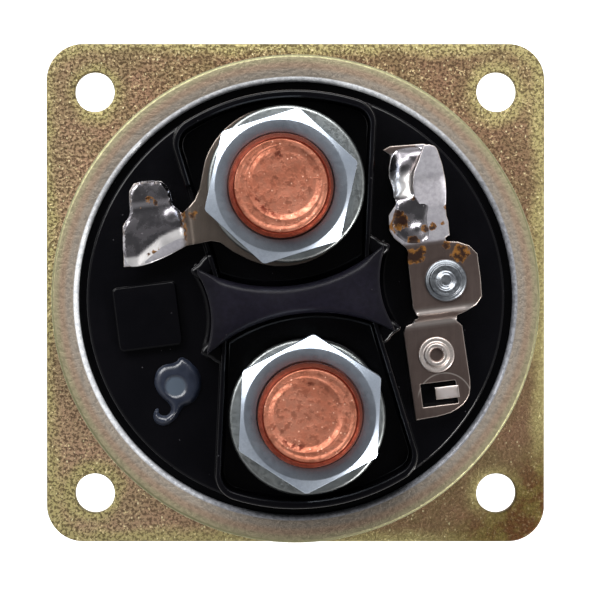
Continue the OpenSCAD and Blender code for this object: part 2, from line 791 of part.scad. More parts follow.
module motor_nut() {
  nut(1, motor_nut_turn, lug_z + sheet_t + washer_t);
}

module battery_nut() {
  nut(-1, battery_nut_turn, stud_boss_z + washer_t);
}

// Domed mass on a flat piece: its outline, under a low dome that is h high at the middle
module solder_mass(points, middle, half_w, z, h) {
  intersection() {
    translate([0, 0, z]) linear_extrude(h) polygon(points);
    translate([middle.x, middle.y, z - cut]) rotate_extrude() polygon(concat(
      [[0, 0], [half_w, 0]],
      [for (p = dome_share) [half_w * p.x, cut + h * p.y]]
    ));
  }
}

module motor_solder() {
  inset = [for (p = solder_share) (1 - p) / 2];
  middle = tab_at + [-tab_w / 2, tab_l / 2];
  color(bright) on_cap() difference() {
    solder_mass(
      outline(tab_share, -tab_w * solder_share[0], tab_l * solder_share[1],
              tab_at + [-tab_w * inset[0], tab_l * inset[1]]),
      middle, tab_l * 0.75, tab_z + sheet_t, solder_h
    );
    translate([motor_lead_at.x, motor_lead_at.y, tab_z])
      cylinder(r = lead_r + fit_gap, h = sheet_t + lead_end_rise + fit_gap);
  }
}

// Strip from the tongue, over a joggle, to the pad and the flag that folds over the leads
module signal_strip() {
  far = can_r;
  tall = pad_z - tongue_z + sheet_t + 2 * cut;
  color(tinned) on_cap() difference() {
    union() {
      intersection() {
        translate([0, 0, tongue_z - cut]) linear_extrude(tall) {
          polygon(outline(pad_share, pad_w, pad_l, pad_at));
          polygon(outline(flag_share, flag_w, flag_l, flag_at));
          translate([joggle_at.x - joggle_w / 2, joggle_at.y - joggle_l])
            square([joggle_w, 3 * joggle_l]);
          polygon(concat(
            [[tongue_at.x + tongue_w / 2, tongue_at.y], [tongue_at.x - tongue_w / 2, tongue_at.y],
             [tongue_at.x - tongue_w / 2, tongue_at.y - tongue_l]],
            arc(tongue_at + [tongue_w / 2 - tongue_corner_r, tongue_corner_r - tongue_l],
                tongue_corner_r, -90, 0, corner_steps)
          ));
        }
        rotate([90, 0, 90]) linear_extrude(far) polygon([
          [-far, tongue_z], [joggle_at.y, tongue_z], [joggle_at.y + joggle_l, pad_z],
          [far, pad_z], [far, pad_z + sheet_t], [joggle_at.y + joggle_l, pad_z + sheet_t],
          [joggle_at.y, tongue_z + sheet_t], [-far, tongue_z + sheet_t]
        ]);
      }
      flag_fold();
    }
    translate([tongue_at.x - window_in - window_w / 2, tongue_at.y - window_down - window_l / 2,
               tongue_z - cut])
      cube([window_w, window_l, sheet_t + 2 * cut]);
    strip_hole(signal_rivet_at, signal_shank_d / 2 + fit_gap);
    strip_hole(eyelet_at, eyelet_shank_d / 2 + fit_gap);
    for (at = [signal_in_at, signal_out_at]) strip_hole(at, lead_r + fit_gap);
  }
  color(tinned) on_cap() latch();
}

// Hole through the strip's sheet, which stops under the fold
module strip_hole(at, r) {
  translate([at.x, at.y, tongue_z - cut]) cylinder(r = r, h = pad_z - tongue_z + sheet_t + cut + fit_gap);
}

// Leaf of the flag that is folded back over the leads, with its bend along the outer edge
module flag_fold() {
  leaf_z = pad_z + sheet_t + fold_gap;
  bend_x = flag_at.x + flag_w * fold_share[0].x - sheet_t / 2;
  translate([0, 0, leaf_z])
    linear_extrude(sheet_t) polygon(outline(fold_share, flag_w, flag_l, flag_at));
  translate([bend_x, flag_at.y + flag_l * fold_share[0].y, pad_z + sheet_t / 2])
    cube([sheet_t, flag_l * (fold_share[4].y - fold_share[0].y), sheet_t + fold_gap]);
}

// Sprung tongue in the strip's window, rooted on its outer edge and sloping down
module latch() {
  edge_x = tongue_at.x - window_in + window_w / 2;
  edge_y = tongue_at.y - window_down + latch_w / 2;
  translate([0, edge_y, 0]) rotate([90, 0, 0]) linear_extrude(latch_w) polygon([
    [edge_x, tongue_z], [edge_x, tongue_z + sheet_t],
    [edge_x - latch_l, tongue_z + sheet_t - latch_drop], [edge_x - latch_l, tongue_z - latch_drop]
  ]);
}

module signal_solder() {
  color(bright) on_cap() difference() {
    solder_mass(
      [
        flag_at + [-0.36 * flag_w, 0.46 * flag_l], flag_at + [-0.1 * flag_w, 0.42 * flag_l],
        flag_at + [-0.06 * flag_w, 0.58 * flag_l], flag_at + [0.0 * flag_w, 0.75 * flag_l],
        flag_at + [0.14 * flag_w, 0.95 * flag_l], flag_at + [-0.3 * flag_w, 0.97 * flag_l],
        flag_at + [-0.37 * flag_w, 0.85 * flag_l]
      ],
      flag_at + [-0.15 * flag_w, 0.75 * flag_l], flag_w, pad_z + sheet_t, solder_h
    );
    translate([signal_in_at.x, signal_in_at.y, pad_z])
      cylinder(r = lead_r + fit_gap, h = sheet_t + lead_end_rise + fit_gap);
  }
}

// Head on the sheet, shank through the cap, and a tail spread under its roof
module rivet(at, d, h, shank_d, z, bore_d) {
  color(zinc) on_cap() translate([at.x, at.y, 0]) rotate_extrude() polygon([
    [bore_d / 2, roof_z - tail_h], [tail_d / 2, roof_z - tail_h], [tail_d / 2, roof_z],
    [shank_d / 2, roof_z], [shank_d / 2, z], [d / 2, z], [d / 2, z + h / 2],
    [rivet_crown_share * d / 2, z + h - rivet_crown_h], [rivet_crown_share * d / 2, z + h],
    [bore_d / 2, z + h]
  ]);
}

module signal_rivet() {
  rivet(signal_rivet_at, signal_rivet_d, signal_rivet_h, signal_shank_d, pad_z + sheet_t, 0);
}

module eyelet_rivet() {
  rivet(eyelet_at, eyelet_d, eyelet_h, eyelet_shank_d, tongue_z + sheet_t, eyelet_bore_d);
}

module sealant_plug() {
  dome_r = (pow(sealant_d / 2, 2) + pow(sealant_h, 2)) / (2 * sealant_h);
  color([0.35, 0.39, 0.46]) on_cap() translate([sealant_at.x, sealant_at.y, 0]) {
    translate([0, 0, roof_z]) cylinder(d = sealant_hole_d - 2 * fit_gap, h = cap_roof_t + fit_gap);
    intersection() {
      translate([0, 0, floor_z]) cylinder(d = sealant_d, h = sealant_h);
      translate([0, 0, floor_z + sealant_h - dome_r]) sphere(r = dome_r);
    }
  }
}

module plunger() {
  color([0.62, 0.62, 0.6]) difference() {
    rotate_extrude() polygon([
      [0, plunger_z], [plunger_r - plunger_chamfer, plunger_z],
      [plunger_r, plunger_z + plunger_chamfer], [plunger_r, plunger_top_z - plunger_chamfer],
      [plunger_r - plunger_chamfer, plunger_top_z], [0, plunger_top_z]
    ]);
    translate([0, 0, pocket_z]) cylinder(d = pocket_d, h = pocket_h + cut);
    for (side = [-1, 1])
      translate([-plunger_d, side * (fork_w / 2 + plunger_d / 2) - plunger_d / 2, plunger_z - cut])
        cube([2 * plunger_d, plunger_d, fork_h + cut]);
    translate([-plunger_d, -fork_slot_w / 2, plunger_z - cut])
      cube([2 * plunger_d, fork_slot_w, fork_slot_h + cut]);
    translate([0, fork_w, fork_hole_z]) rotate([90, 0, 0]) cylinder(d = fork_hole_d, h = 2 * fork_w);
  }
}

module return_spring() {
  color(steel)
    spring(return_spring_d, return_wire_d, return_turns, pocket_z, core_face_z);
}

module contact_rod() {
  color(steel) rotate_extrude() polygon([
    [0, rod_z], [rod_r - rod_chamfer, rod_z], [rod_r, rod_z + rod_chamfer], [rod_r, collar_z],
    [collar_d / 2, collar_z], [collar_d / 2, seat_z], [rod_r, seat_z], [rod_r, clip_z],
    [groove_d / 2, clip_z], [groove_d / 2, clip_top_z], [rod_r, clip_top_z],
    [rod_r, rod_top_z - rod_chamfer], [rod_r - rod_chamfer, rod_top_z], [0, rod_top_z]
  ]);
}

module rod_seat_washer() {
  color(zinc) ring(seat_d / 2, rod_r + fit_gap, seat_z, seat_t);
}

module rod_clip() {
  color(steel) difference() {
    ring(clip_d / 2, groove_d / 2 + fit_gap, clip_z, clip_t);
    translate([0, -clip_slot_w / 2, clip_z - cut]) cube([clip_d, clip_slot_w, clip_t + 2 * cut]);
  }
}

module contact_spring() {
  color(steel)
    spring(contact_spring_d, contact_wire_d, contact_turns, seat_z + seat_t, insulator_z);
}

module rod_return_spring() {
  color(steel) spring(rod_spring_d, rod_wire_d, rod_turns, clip_top_z, rod_well_z);
}

module contact_disc() {
  color(copper) ring(disc_r, bush_hub_d / 2 + fit_gap, disc_z, disc_t);
}

module disc_bush() {
  color([0.5, 0.3, 0.2]) {
    ring(bush_hub_d / 2, rod_bore_r, disc_z, disc_t + bush_flange_t);
    ring(bush_flange_d / 2, rod_bore_r, disc_top_z, bush_flange_t);
  }
}

module disc_insulator() {
  color([0.5, 0.3, 0.2]) ring(insulator_d / 2, rod_bore_r, insulator_z, insulator_t);
}

flange_plate();
can_shell();
guide_tube();
bobbin();
pull_in_winding();
hold_in_winding();
coil_wrap();
core_plate();
fixed_core();
ground_lead();
cap_gasket();
terminal_cap();
lead_sleeves();
motor_lead();
signal_leads();
motor_stud();
battery_stud();
motor_lug();
motor_washer();
battery_washer();
motor_nut();
battery_nut();
motor_solder();
signal_strip();
signal_solder();
signal_rivet();
eyelet_rivet();
sealant_plug();
plunger();
return_spring();
contact_rod();
rod_seat_washer();
rod_clip();
contact_spring();
rod_return_spring();
contact_disc();
disc_bush();
disc_insulator();
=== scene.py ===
"""Flange-mounted starter relay, seen from straight above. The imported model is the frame, and the
pieces here dress it: sections run from the flange up to the small terminals. Sizes are in
millimetres until a mesh is made, and the cap's pieces are drawn in the cap's own axes u, v.
"""

import math

import bmesh
import bpy
import numpy as np
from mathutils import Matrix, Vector
from mathutils.geometry import delaunay_2d_cdt


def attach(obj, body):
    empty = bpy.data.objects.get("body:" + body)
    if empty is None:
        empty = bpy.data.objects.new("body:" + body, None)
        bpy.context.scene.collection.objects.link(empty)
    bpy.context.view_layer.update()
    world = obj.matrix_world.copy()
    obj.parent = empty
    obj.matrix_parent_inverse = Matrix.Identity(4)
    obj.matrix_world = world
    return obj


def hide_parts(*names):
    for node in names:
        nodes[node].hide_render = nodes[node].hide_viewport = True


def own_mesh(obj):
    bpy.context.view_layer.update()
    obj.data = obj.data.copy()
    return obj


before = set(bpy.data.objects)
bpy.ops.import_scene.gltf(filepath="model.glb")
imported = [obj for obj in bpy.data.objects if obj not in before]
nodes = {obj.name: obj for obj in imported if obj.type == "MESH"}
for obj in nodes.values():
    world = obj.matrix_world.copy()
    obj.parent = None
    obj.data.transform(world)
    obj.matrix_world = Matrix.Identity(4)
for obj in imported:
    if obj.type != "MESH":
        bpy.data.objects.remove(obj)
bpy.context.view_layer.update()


# Flange.
# A stamped plate with rolled edges and four bolt holes, plated with zinc and passivated yellow.
# The plating is a little uneven: greener along the edges, with a smooth brown patch at the lower
# right corner. The colour is paler towards the left and darker towards the right, and its pale
# grains and bright sparks are painted highlights.

def piece(name, verts, faces, finish, node, body="housing", sharp=38, values=None):
    """A mesh object that stands for a node and rides on a body: metres = millimetres / 1000.

    Doubled vertices are merged, and faces are turned outwards. values maps the name of a point
    attribute to one number a vertex.
    """
    mesh = bpy.data.meshes.new(name)
    mesh.from_pydata((np.asarray(verts, float) / 1000).tolist(), [], faces)
    for key, numbers in (values or {}).items():
        layer = mesh.attributes.new(key, "FLOAT", "POINT")
        layer.data.foreach_set("value", np.asarray(numbers, np.float32))
    shell = bmesh.new()
    shell.from_mesh(mesh)
    bmesh.ops.remove_doubles(shell, verts=shell.verts, dist=2e-6)
    bmesh.ops.recalc_face_normals(shell, faces=shell.faces)
    shell.to_mesh(mesh)
    shell.free()
    mesh.validate()
    mesh.shade_smooth()
    mesh.set_sharp_from_angle(angle=math.radians(sharp))
    mesh.materials.append(finish.material)
    made = bpy.data.objects.new(name, mesh)
    bpy.context.scene.collection.objects.link(made)
    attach(made, body)
    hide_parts(node)
    return made


def grid_faces(rows, columns, wrap, start=0, flip=False):
    """Quads of a grid of rows by columns, whose columns close on themselves where wrap is set."""
    i, j = np.meshgrid(np.arange(rows - 1), np.arange(columns if wrap else columns - 1),
                       indexing="ij")
    i, j = i.ravel() * columns + start, j.ravel()
    k = (j + 1) % columns
    quads = np.stack((i + j, i + k, i + columns + k, i + columns + j), axis=1)
    return (quads[:, ::-1] if flip else quads).tolist()


def spaced(loop, step, turn=1):
    """A closed outline with its points about a step apart, counter-clockwise where turn is 1.

    Its doubled area is the sum of x1 y2 - x2 y1, and is negative where it runs clockwise.
    """
    loop = np.asarray(loop, float)
    following = np.roll(loop, -1, axis=0)
    if turn * (loop[:, 0] * following[:, 1] - following[:, 0] * loop[:, 1]).sum() < 0:
        loop = loop[::-1]
    points = []
    for a, b in zip(loop, np.roll(loop, -1, axis=0)):
        count = max(1, round(float(np.linalg.norm(b - a)) / step))
        points += [a + (b - a) * k / count for k in range(count)]
    return np.array(points)


def normals(loop):
    """Unit normals of a closed outline that point to the right of its course."""
    along = np.roll(loop, -1, axis=0) - np.roll(loop, 1, axis=0)
    along /= np.maximum(np.linalg.norm(along, axis=1, keepdims=True), 1e-9)
    return np.stack((along[:, 1], -along[:, 0]), axis=1)


def around(radius, angle, centre=(0, 0), *height):
    """Points at centre + radius * (cos angle, sin angle), with a height where one is given."""
    x, y = centre[0] + radius * np.cos(angle), centre[1] + radius * np.sin(angle)
    return np.stack(np.broadcast_arrays(x, y, *height), axis=-1)


def circle(centre, radius, count=64):
    """Points of a circle, counter-clockwise."""
    return around(radius, np.arange(count) * 2 * math.pi / count, centre)


def nearest(points, loops):
    """Distance from each point to the nearest vertex of the outlines."""
    edge = np.concatenate(loops)
    out = np.empty(len(points))
    for i in range(0, len(points), 2000):
        block = points[i:i + 2000, None, :2] - edge[None, :, :2]
        out[i:i + 2000] = np.sqrt((block ** 2).sum(-1)).min(1)
    return out


def inside_of(points, loops):
    """Whether each point is inside: a ray to the right crosses the outlines an odd number of times."""
    ends = np.concatenate([np.hstack((loop, np.roll(loop, -1, axis=0))) for loop in loops])
    x1, y1, x2, y2 = ends.T
    out = np.zeros(len(points), bool)
    for i in range(0, len(points), 2000):
        x, y = points[i:i + 2000, 0][:, None], points[i:i + 2000, 1][:, None]
        spans = (y1 <= y) != (y2 <= y)
        at = x1 + (y - y1) * (x2 - x1) / np.where(y2 == y1, 1e-9, y2 - y1)
        out[i:i + 2000] = (spans & (at > x)).sum(1) % 2 == 1
    return out


def level(z):
    """A height that is the same everywhere."""
    return lambda x, y: np.full(np.shape(x), float(z))


def sheet(outer, holes, low, high, edge=0.12, step=0.3, inside=None, foot=None):
    """A sheet between two heights, each a function of (x, y) arrays, with rounded edges.

    edge is their radius, or a function of (x, y), and foot is the (height, radius) of a fillet at
    the foot. The flat faces are filled with triangles about inside apart. Returns vertices, faces
    and each vertex's distance to the nearest edge.
    """
    loops = [spaced(outer, step)] + [spaced(hole, step, -1) for hole in holes]
    radii = [edge(loop[:, 0], loop[:, 1]) if callable(edge) else np.full(len(loop), edge)
             for loop in loops]
    inner = [loop - normals(loop) * radius[:, None] for loop, radius in zip(loops, radii)]
    flat = np.concatenate(inner)
    inside = inside or 2.5 * step
    low_corner, high_corner = flat.min(0), flat.max(0)
    gx, gy = np.meshgrid(np.arange(low_corner[0], high_corner[0], inside),
                         np.arange(low_corner[1], high_corner[1], inside * 0.866))
    gx[1::2] += inside / 2
    seeds = np.stack((gx.ravel(), gy.ravel()), axis=1)
    seeds = seeds[inside_of(seeds, inner)]
    seeds = seeds[nearest(seeds, inner) > inside * 0.6]
    starts = np.cumsum([0] + [len(loop) for loop in inner])
    pinned = np.concatenate([
        start + np.stack((np.arange(len(loop)), (np.arange(len(loop)) + 1) % len(loop)), axis=1)
        for start, loop in zip(starts, inner)
    ])
    found = delaunay_2d_cdt([Vector(p) for p in np.concatenate((flat, seeds))], pinned.tolist(),
                            [], 0, 1e-5)
    points, triangles = np.array([tuple(v) for v in found[0]]), np.array(found[2])
    triangles = triangles[inside_of(points[triangles].mean(1), inner)]
    x, y = points[:, 0], points[:, 1]
    verts = [np.column_stack((points, high(x, y))), np.column_stack((points, low(x, y)))]
    faces = triangles.tolist() + (triangles[:, ::-1] + len(points)).tolist()
    start = 2 * len(points)
    bend = np.linspace(0, math.pi / 2, 7)
    for loop, edge, base in zip(loops, radii, inner):
        out = normals(loop)
        top, bottom = high(base[:, 0], base[:, 1]), low(base[:, 0], base[:, 1])
        rows = [(edge * (math.sin(t) - 1), top - edge * (1 - math.cos(t))) for t in bend]
        if foot:
            floor, radius = foot
            rows += [(radius * (1 - math.cos(t)), floor + radius * (1 - math.sin(t)) + 0 * top)
                     for t in np.linspace(0, math.pi / 2, 8)]
            rows += [(radius, bottom), (-edge, bottom)]
        else:
            rows += [(edge * (math.cos(t) - 1), bottom + edge * (1 - math.sin(t))) for t in bend]
        verts.append(np.concatenate([
            np.column_stack((loop + out * np.reshape(d, (-1, 1)), z)) for d, z in rows
        ]))
        faces += grid_faces(len(rows), len(loop), True, start, flip=True)
        start += len(rows) * len(loop)
    verts = np.concatenate(verts)
    keep, where = np.unique(np.concatenate([np.ravel(f) for f in faces]), return_inverse=True)
    split = np.cumsum([len(f) for f in faces])[:-1]
    faces = [f.tolist() for f in np.split(where, split)]
    return verts[keep], faces, nearest(verts[keep], loops)


def tone(red, green, blue):
    """Linear colour of a screen colour: ((c / 255 + 0.055) / 1.055) ** 2.4."""
    return [*(((c / 255 + 0.055) / 1.055) ** 2.4 for c in (red, green, blue)), 1.0]


def add(tree, kind, inputs=None, **settings):
    """One shader node: its settings are properties, and its inputs are links or plain values."""
    node = tree.nodes.new("ShaderNode" + kind)
    for key, value in settings.items():
        setattr(node, key, value)
    for key, value in (inputs or {}).items():
        if isinstance(value, bpy.types.NodeSocket):
            tree.links.new(value, node.inputs[key])
        else:
            node.inputs[key].default_value = value
    return node


def group(name, inputs, outputs):
    """An empty node group with float or vector inputs, and its entry and exit nodes."""
    tree = bpy.data.node_groups.new(name, "ShaderNodeTree")
    for key in inputs:
        kind = "NodeSocketVector" if key == "Place" else "NodeSocketFloat"
        tree.interface.new_socket(key, in_out="INPUT", socket_type=kind)
    for key in outputs:
        tree.interface.new_socket(key, in_out="OUTPUT", socket_type="NodeSocketFloat")
    return tree, tree.nodes.new("NodeGroupInput").outputs, tree.nodes.new("NodeGroupOutput").inputs


# Patches: noise of a given scale, stretched to 0..1 between two of its values.
patches, given, out = group("patches", ("Place", "Scale", "From", "To"), ("Mask",))
noise = add(patches, "TexNoise", {"Vector": given["Place"], "Scale": given["Scale"],
                                  "Detail": 5.0, "Roughness": 0.62})
spread = add(patches, "MapRange", {"Value": noise.outputs["Fac"], "From Min": given["From"],
                                   "From Max": given["To"]}, interpolation_type="SMOOTHSTEP")
patches.links.new(spread.outputs["Result"], out["Mask"])

# Specks: 1 within a given share of a cell's centre, in about one cell out of five.
specks, given, out = group("specks", ("Place", "Scale", "Size"), ("Mask",))
cells = add(specks, "TexVoronoi", {"Vector": given["Place"], "Scale": given["Scale"]})
chance = add(specks, "SeparateColor", {"Color": cells.outputs["Color"]}).outputs[0]
pick = add(specks, "Math", {0: chance, 1: 0.8}, operation="GREATER_THAN")
near = add(specks, "MapRange", {"Value": cells.outputs["Distance"], "From Min": given["Size"],
                                "From Max": 0.0}, interpolation_type="SMOOTHSTEP")
both = add(specks, "Math", {0: pick.outputs[0], 1: near.outputs["Result"]}, operation="MULTIPLY")
specks.links.new(both.outputs[0], out["Mask"])


class Finish:
    """A material: its shader, its Object coordinates (place) and short names for its nodes.

    A colour is a link, a screen colour of three numbers or a linear colour of four.
    """

    def __init__(self, name, metallic, roughness, **plain):
        self.material = bpy.data.materials.new(name)
        self.material.use_nodes = True
        self.tree = self.material.node_tree
        self.shader = self.tree.nodes["Principled BSDF"]
        self.place = self.add("TexCoord").outputs["Object"]
        for key, value in {"Metallic": metallic, "Roughness": roughness, **plain}.items():
            self.shader.inputs[key.replace("_", " ")].default_value = value

    def add(self, kind, inputs=None, **settings):
        """One node of this material."""
        return add(self.tree, kind, inputs, **settings)

    def axis(self, name):
        """One Object coordinate, in metres."""
        return self.add("SeparateXYZ", {"Vector": self.place}).outputs[name]

    def mapped(self, mapping):
        """The place, turned and stretched as the mapping says."""
        if not mapping:
            return self.place
        return self.add("Mapping", {"Vector": self.place, **mapping}).outputs[0]

    def patch(self, scale, low=0.35, high=0.65, stretch=None):
        """Mask of the patches group, with the place stretched along X, Y and Z."""
        place = self.mapped({"Scale": stretch} if stretch else {})
        return self.add("Group", {"Place": place, "Scale": scale, "From": low, "To": high},
                        node_tree=patches).outputs["Mask"]

    def speck(self, scale, size, **mapping):
        """Mask of the specks group."""
        return self.add("Group", {"Place": self.mapped(mapping), "Scale": scale, "Size": size},
                        node_tree=specks).outputs["Mask"]

    def mix(self, factor, first, second):
        """Colour: first where the factor is 0 and second where it is 1."""
        first, second = (tone(*c) if isinstance(c, tuple) else c for c in (first, second))
        return self.add("Mix", {0: factor, 6: first, 7: second}, data_type="RGBA").outputs[2]

    def layers(self, colour, *coats):
        """A colour under coats, each a (mask, colour) pair."""
        for mask, coat in coats:
            colour = self.mix(mask, colour, coat)
        return colour

    def between(self, value, low, high, first=0.0, second=1.0):
        """Value that runs smoothly from first at low to second at high."""
        return self.add("MapRange", {"Value": value, "From Min": low, "From Max": high,
                                     "To Min": first, "To Max": second},
                        interpolation_type="SMOOTHSTEP").outputs["Result"]

    def span(self, mask, first, second):
        """Value that runs smoothly from first where the mask is 0 to second where it is 1."""
        return self.between(mask, 0.0, 1.0, first, second)

    def maths(self, operation, first, second=0.0):
        """Value of one Math node."""
        return self.add("Math", {0: first, 1: second}, operation=operation).outputs[0]

    def times(self, first, second):
        """The product of two values."""
        return self.maths("MULTIPLY", first, second)

    def plus(self, first, second):
        """The sum of two values."""
        return self.maths("ADD", first, second)

    def held(self, name):
        """Value of a point attribute."""
        return self.add("Attribute", attribute_name=name).outputs["Fac"]

    def feed(self, name, value):
        """Links a value to an input of the shader."""
        self.tree.links.new(value, self.shader.inputs[name])

    def use(self, colour, roughness, *heights):
        """Feeds the colour, the roughness and a chain of bumps, each a (height, depth in mm) pair."""
        self.feed("Base Color", colour)
        self.feed("Roughness", roughness)
        last = {}
        for height, depth in heights:
            bump = self.add("Bump", {"Height": height, "Distance": depth / 1000, **last})
            last = {"Normal": bump.outputs["Normal"]}
        for name, normal in last.items():
            self.feed(name, normal)


f = Finish("yellow_zinc", 1.0, 0.6)
grain, broad = f.patch(2700, 0.44, 0.58), f.patch(130)
slant = f.plus(f.axis("X"), f.times(f.axis("Y"), 0.4))
diagonal = f.maths("SUBTRACT", f.axis("X"), f.axis("Y"))
coarse = f.between(diagonal, 0.0, 0.045, 1.0, 0.35)
corner_mask = f.between(diagonal, 0.046, 0.056)
# Pale grains and bright sparks are painted highlights: the grains strongest towards the upper left, the
# sparks fewest in the lower right corner.
bright = f.times(f.patch(2900, 0.55, 0.66), f.patch(900))
painted_sparks = f.maths("MAXIMUM", f.speck(2400, 0.3, Rotation=(0, 0, 0.9), Scale=(1, 0.65, 1)),
                 f.speck(1500, 0.2, Rotation=(0, 0, 2.3), Scale=(1, 0.5, 1)))
colour = f.layers(
    f.mix(broad, (152, 120, 98), (136, 120, 88)),
    (f.between(slant, -0.039, 0.01, 0.45, 0.0), (186, 160, 134)),
    (f.between(slant, 0.0, 0.03, 0.0, 0.35), (112, 92, 72)),
    (f.between(f.plus(f.held("rim"), f.times(broad, 1.4)), 2.9, 1.0), (174, 164, 116)),
    (corner_mask, f.mix(f.patch(420, 0.45, 0.62), (124, 110, 64), (106, 74, 48))),
    (f.times(grain, f.times(coarse, 0.72)), (62, 45, 34)),
    (f.times(bright, f.times(coarse, 0.85)), (232, 214, 168)),
    (f.times(painted_sparks, f.span(corner_mask, 0.85, 0.2)), (252, 246, 200)),
)
f.use(colour, f.span(grain, 0.5, 0.66), (f.patch(2600, 0.3, 0.7), 0.03), (grain, 0.03))

PLATE_HALF, PLATE_CORNER, PLATE_TOP = 31.5, 4.6, 3
BOLT_AT, BOLT_R, GUIDE_R = 25.4, 2.5, 9.73
middle = PLATE_HALF - PLATE_CORNER
plate = np.concatenate([
    circle((sx * middle, sy * middle), PLATE_CORNER, 64)[k * 16:k * 16 + 17]
    for k, (sx, sy) in enumerate(((1, 1), (-1, 1), (-1, -1), (1, -1)))
])
holes = [circle((sx * BOLT_AT, sy * BOLT_AT), BOLT_R, 72) for sx in (-1, 1) for sy in (-1, 1)]
holes.append(circle((0, 0), GUIDE_R, 96))
verts, faces, rim = sheet(plate, holes, level(0), level(PLATE_TOP), edge=0.25, step=0.5, inside=1.0)
piece("flange", verts, faces, f, "flange_plate", values={"rim": rim})


# Can.
# One drawn shell of plated steel: a straight wall, a rolled corner, a flat lip, and a short inner
# edge that turns down over the cap's shoulder, scuffed bare by the rolling. That edge's speckle is
# painted much paler towards the upper left: a painted highlight.

def rounded(corners, steps=6):
    """A profile of (r, z, fillet radius) corners with each corner replaced by an arc.

    The arc starts at radius * tan(half the turn) before the corner, and ends as far after it.
    """
    points = []
    for i, (r, z, fillet) in enumerate(corners):
        here = np.array((r, z), float)
        if fillet == 0 or i in (0, len(corners) - 1):
            points.append(here)
            continue
        back = np.array(corners[i - 1][:2]) - here
        ahead = np.array(corners[i + 1][:2]) - here
        back, ahead = back / np.linalg.norm(back), ahead / np.linalg.norm(ahead)
        half = math.acos(max(-1, min(1, float(back @ ahead)))) / 2
        reach = fillet / math.tan(half)
        middle = here + (back + ahead) / np.linalg.norm(back + ahead) * fillet / math.sin(half)
        first, last = here + back * reach - middle, here + ahead * reach - middle
        sweep = math.acos(max(-1, min(1, float(first @ last) / fillet ** 2)))
        for k in range(steps + 1):
            t = k / steps
            arm = (math.sin((1 - t) * sweep) * first + math.sin(t * sweep) * last) / math.sin(sweep)
            points.append(middle + arm)
    return np.array(points)


def revolve(profile, turns=160, centre=(0, 0)):
    """Vertices and faces of a profile of (r, z) points turned about the Z axis through centre."""
    profile = np.asarray(profile, float)
    angle = np.arange(turns) * 2 * math.pi / turns
    verts = around(profile[:, :1], angle, centre, profile[:, 1:2])
    return verts.reshape(-1, 3), grid_faces(len(profile), turns, True)


f = Finish("can_zinc", 1.0, 0.5)
reach, height = f.held("reach"), f.axis("Z")
broad, fine = f.patch(60, 0.3, 0.7), f.patch(1900, 0.36, 0.64)
lip = f.layers(f.mix(f.between(reach, 26.6, 27.3), (168, 158, 146), (170, 148, 128)),
               (f.between(reach, 27.4, 28.1), (168, 160, 130)))
line = f.times(f.between(reach, 28.25, 28.4), f.between(height, 0.0499, 0.0502))
worn = f.between(reach, 26.1, 25.9)
# The scuffed edge's bare speckle, painted much paler towards the upper left as a painted highlight.
painted_highlight_side = f.between(f.maths("SUBTRACT", f.axis("Y"), f.axis("X")), -0.02, 0.03)
speckle = f.mix(painted_highlight_side, f.mix(fine, (150, 152, 158), (110, 112, 118)),
                f.mix(fine, (250, 252, 254), (206, 210, 214)))
colour = f.layers(
    f.mix(broad, (168, 154, 130), (156, 140, 114)), (f.between(height, 0.0497, 0.0501), lip),
    (line, (150, 148, 112)), (f.times(fine, 0.25), (130, 116, 100)), (worn, speckle),
)
f.use(colour, f.plus(f.span(fine, 0.44, 0.54), f.times(worn, -0.12)), (fine, 0.012))
f.feed("Metallic", f.span(worn, 1.0, 0.25))

CAN_R, CAN_BORE, CAN_FOOT = 28.6, 26.8, 2.4
LIP_TOP, LIP_FOOT, LIP_R = 50.5, 48.75, 25.4
verts, faces = revolve(rounded([
    (CAN_BORE, CAN_FOOT, 0), (CAN_R, CAN_FOOT, 0.1), (CAN_R, LIP_TOP, 0.35), (LIP_R, LIP_TOP, 0.6),
    (LIP_R, LIP_FOOT, 0.1), (CAN_BORE, LIP_FOOT, 0.1), (CAN_BORE, CAN_FOOT, 0)
], 8), 256)
piece("can", verts, faces, f, "can_shell",
      values={"reach": np.hypot(verts[:, 0], verts[:, 1])})


# Terminal cap.
# One glossy black moulding: a disc with a stepped skirt, a thin wall round each stud bay, a
# waisted barrier with hollow sides, round bosses under the studs and small ones at the sides. The
# barrier's dull top carries a painted sheen, greyest in the middle and darker towards its ends.

FLOOR, WALL_TOP, BARRIER_TOP, BOSS_TOP = 51.0, 56.5, 58.5, 54
CAP_R, WALL_R, SKIRT_R, SKIRT_IN, BOSS_R, BOSS_IN = 24.45, 24.38, 26.7, 23.4, 8.8, 6.1
SHOULDER_Z, UNDER_Z, SKIRT_FOOT = 48.68, 47.5, 39.8
WELL_R, WELL_Z = 3.5, FLOOR - 1.2
STUD_V, CAP_TURN = 13.25, 7.2
bay_in, bay_side, bay_lean, bay_corner, wall_t = 23.4, 7.74, math.radians(9.8), 2.2, 0.9


def ramp(t):
    """Smooth step from 0 at t = 0 to 1 at t = 1: t * t * (3 - 2 t)."""
    t = np.clip(t, 0, 1)
    return t * t * (3 - 2 * t)


def turned(points, degrees):
    """Points turned about the Z axis: x cos a - y sin a, x sin a + y cos a."""
    points = np.array(points, float)
    a = math.radians(degrees)
    x, y = points[..., 0].copy(), points[..., 1].copy()
    points[..., 0] = x * math.cos(a) - y * math.sin(a)
    points[..., 1] = x * math.sin(a) + y * math.cos(a)
    return points


def on_cap(points):
    """From the cap's own axes to the frame."""
    return turned(points, CAP_TURN)


def joined(*parts):
    """One mesh out of several (vertices, faces) pairs."""
    verts, faces, start = [], [], 0
    for part_verts, part_faces in parts:
        verts.append(np.asarray(part_verts, float))
        faces += [tuple(start + i for i in face) for face in part_faces]
        start += len(part_verts)
    return np.concatenate(verts), faces


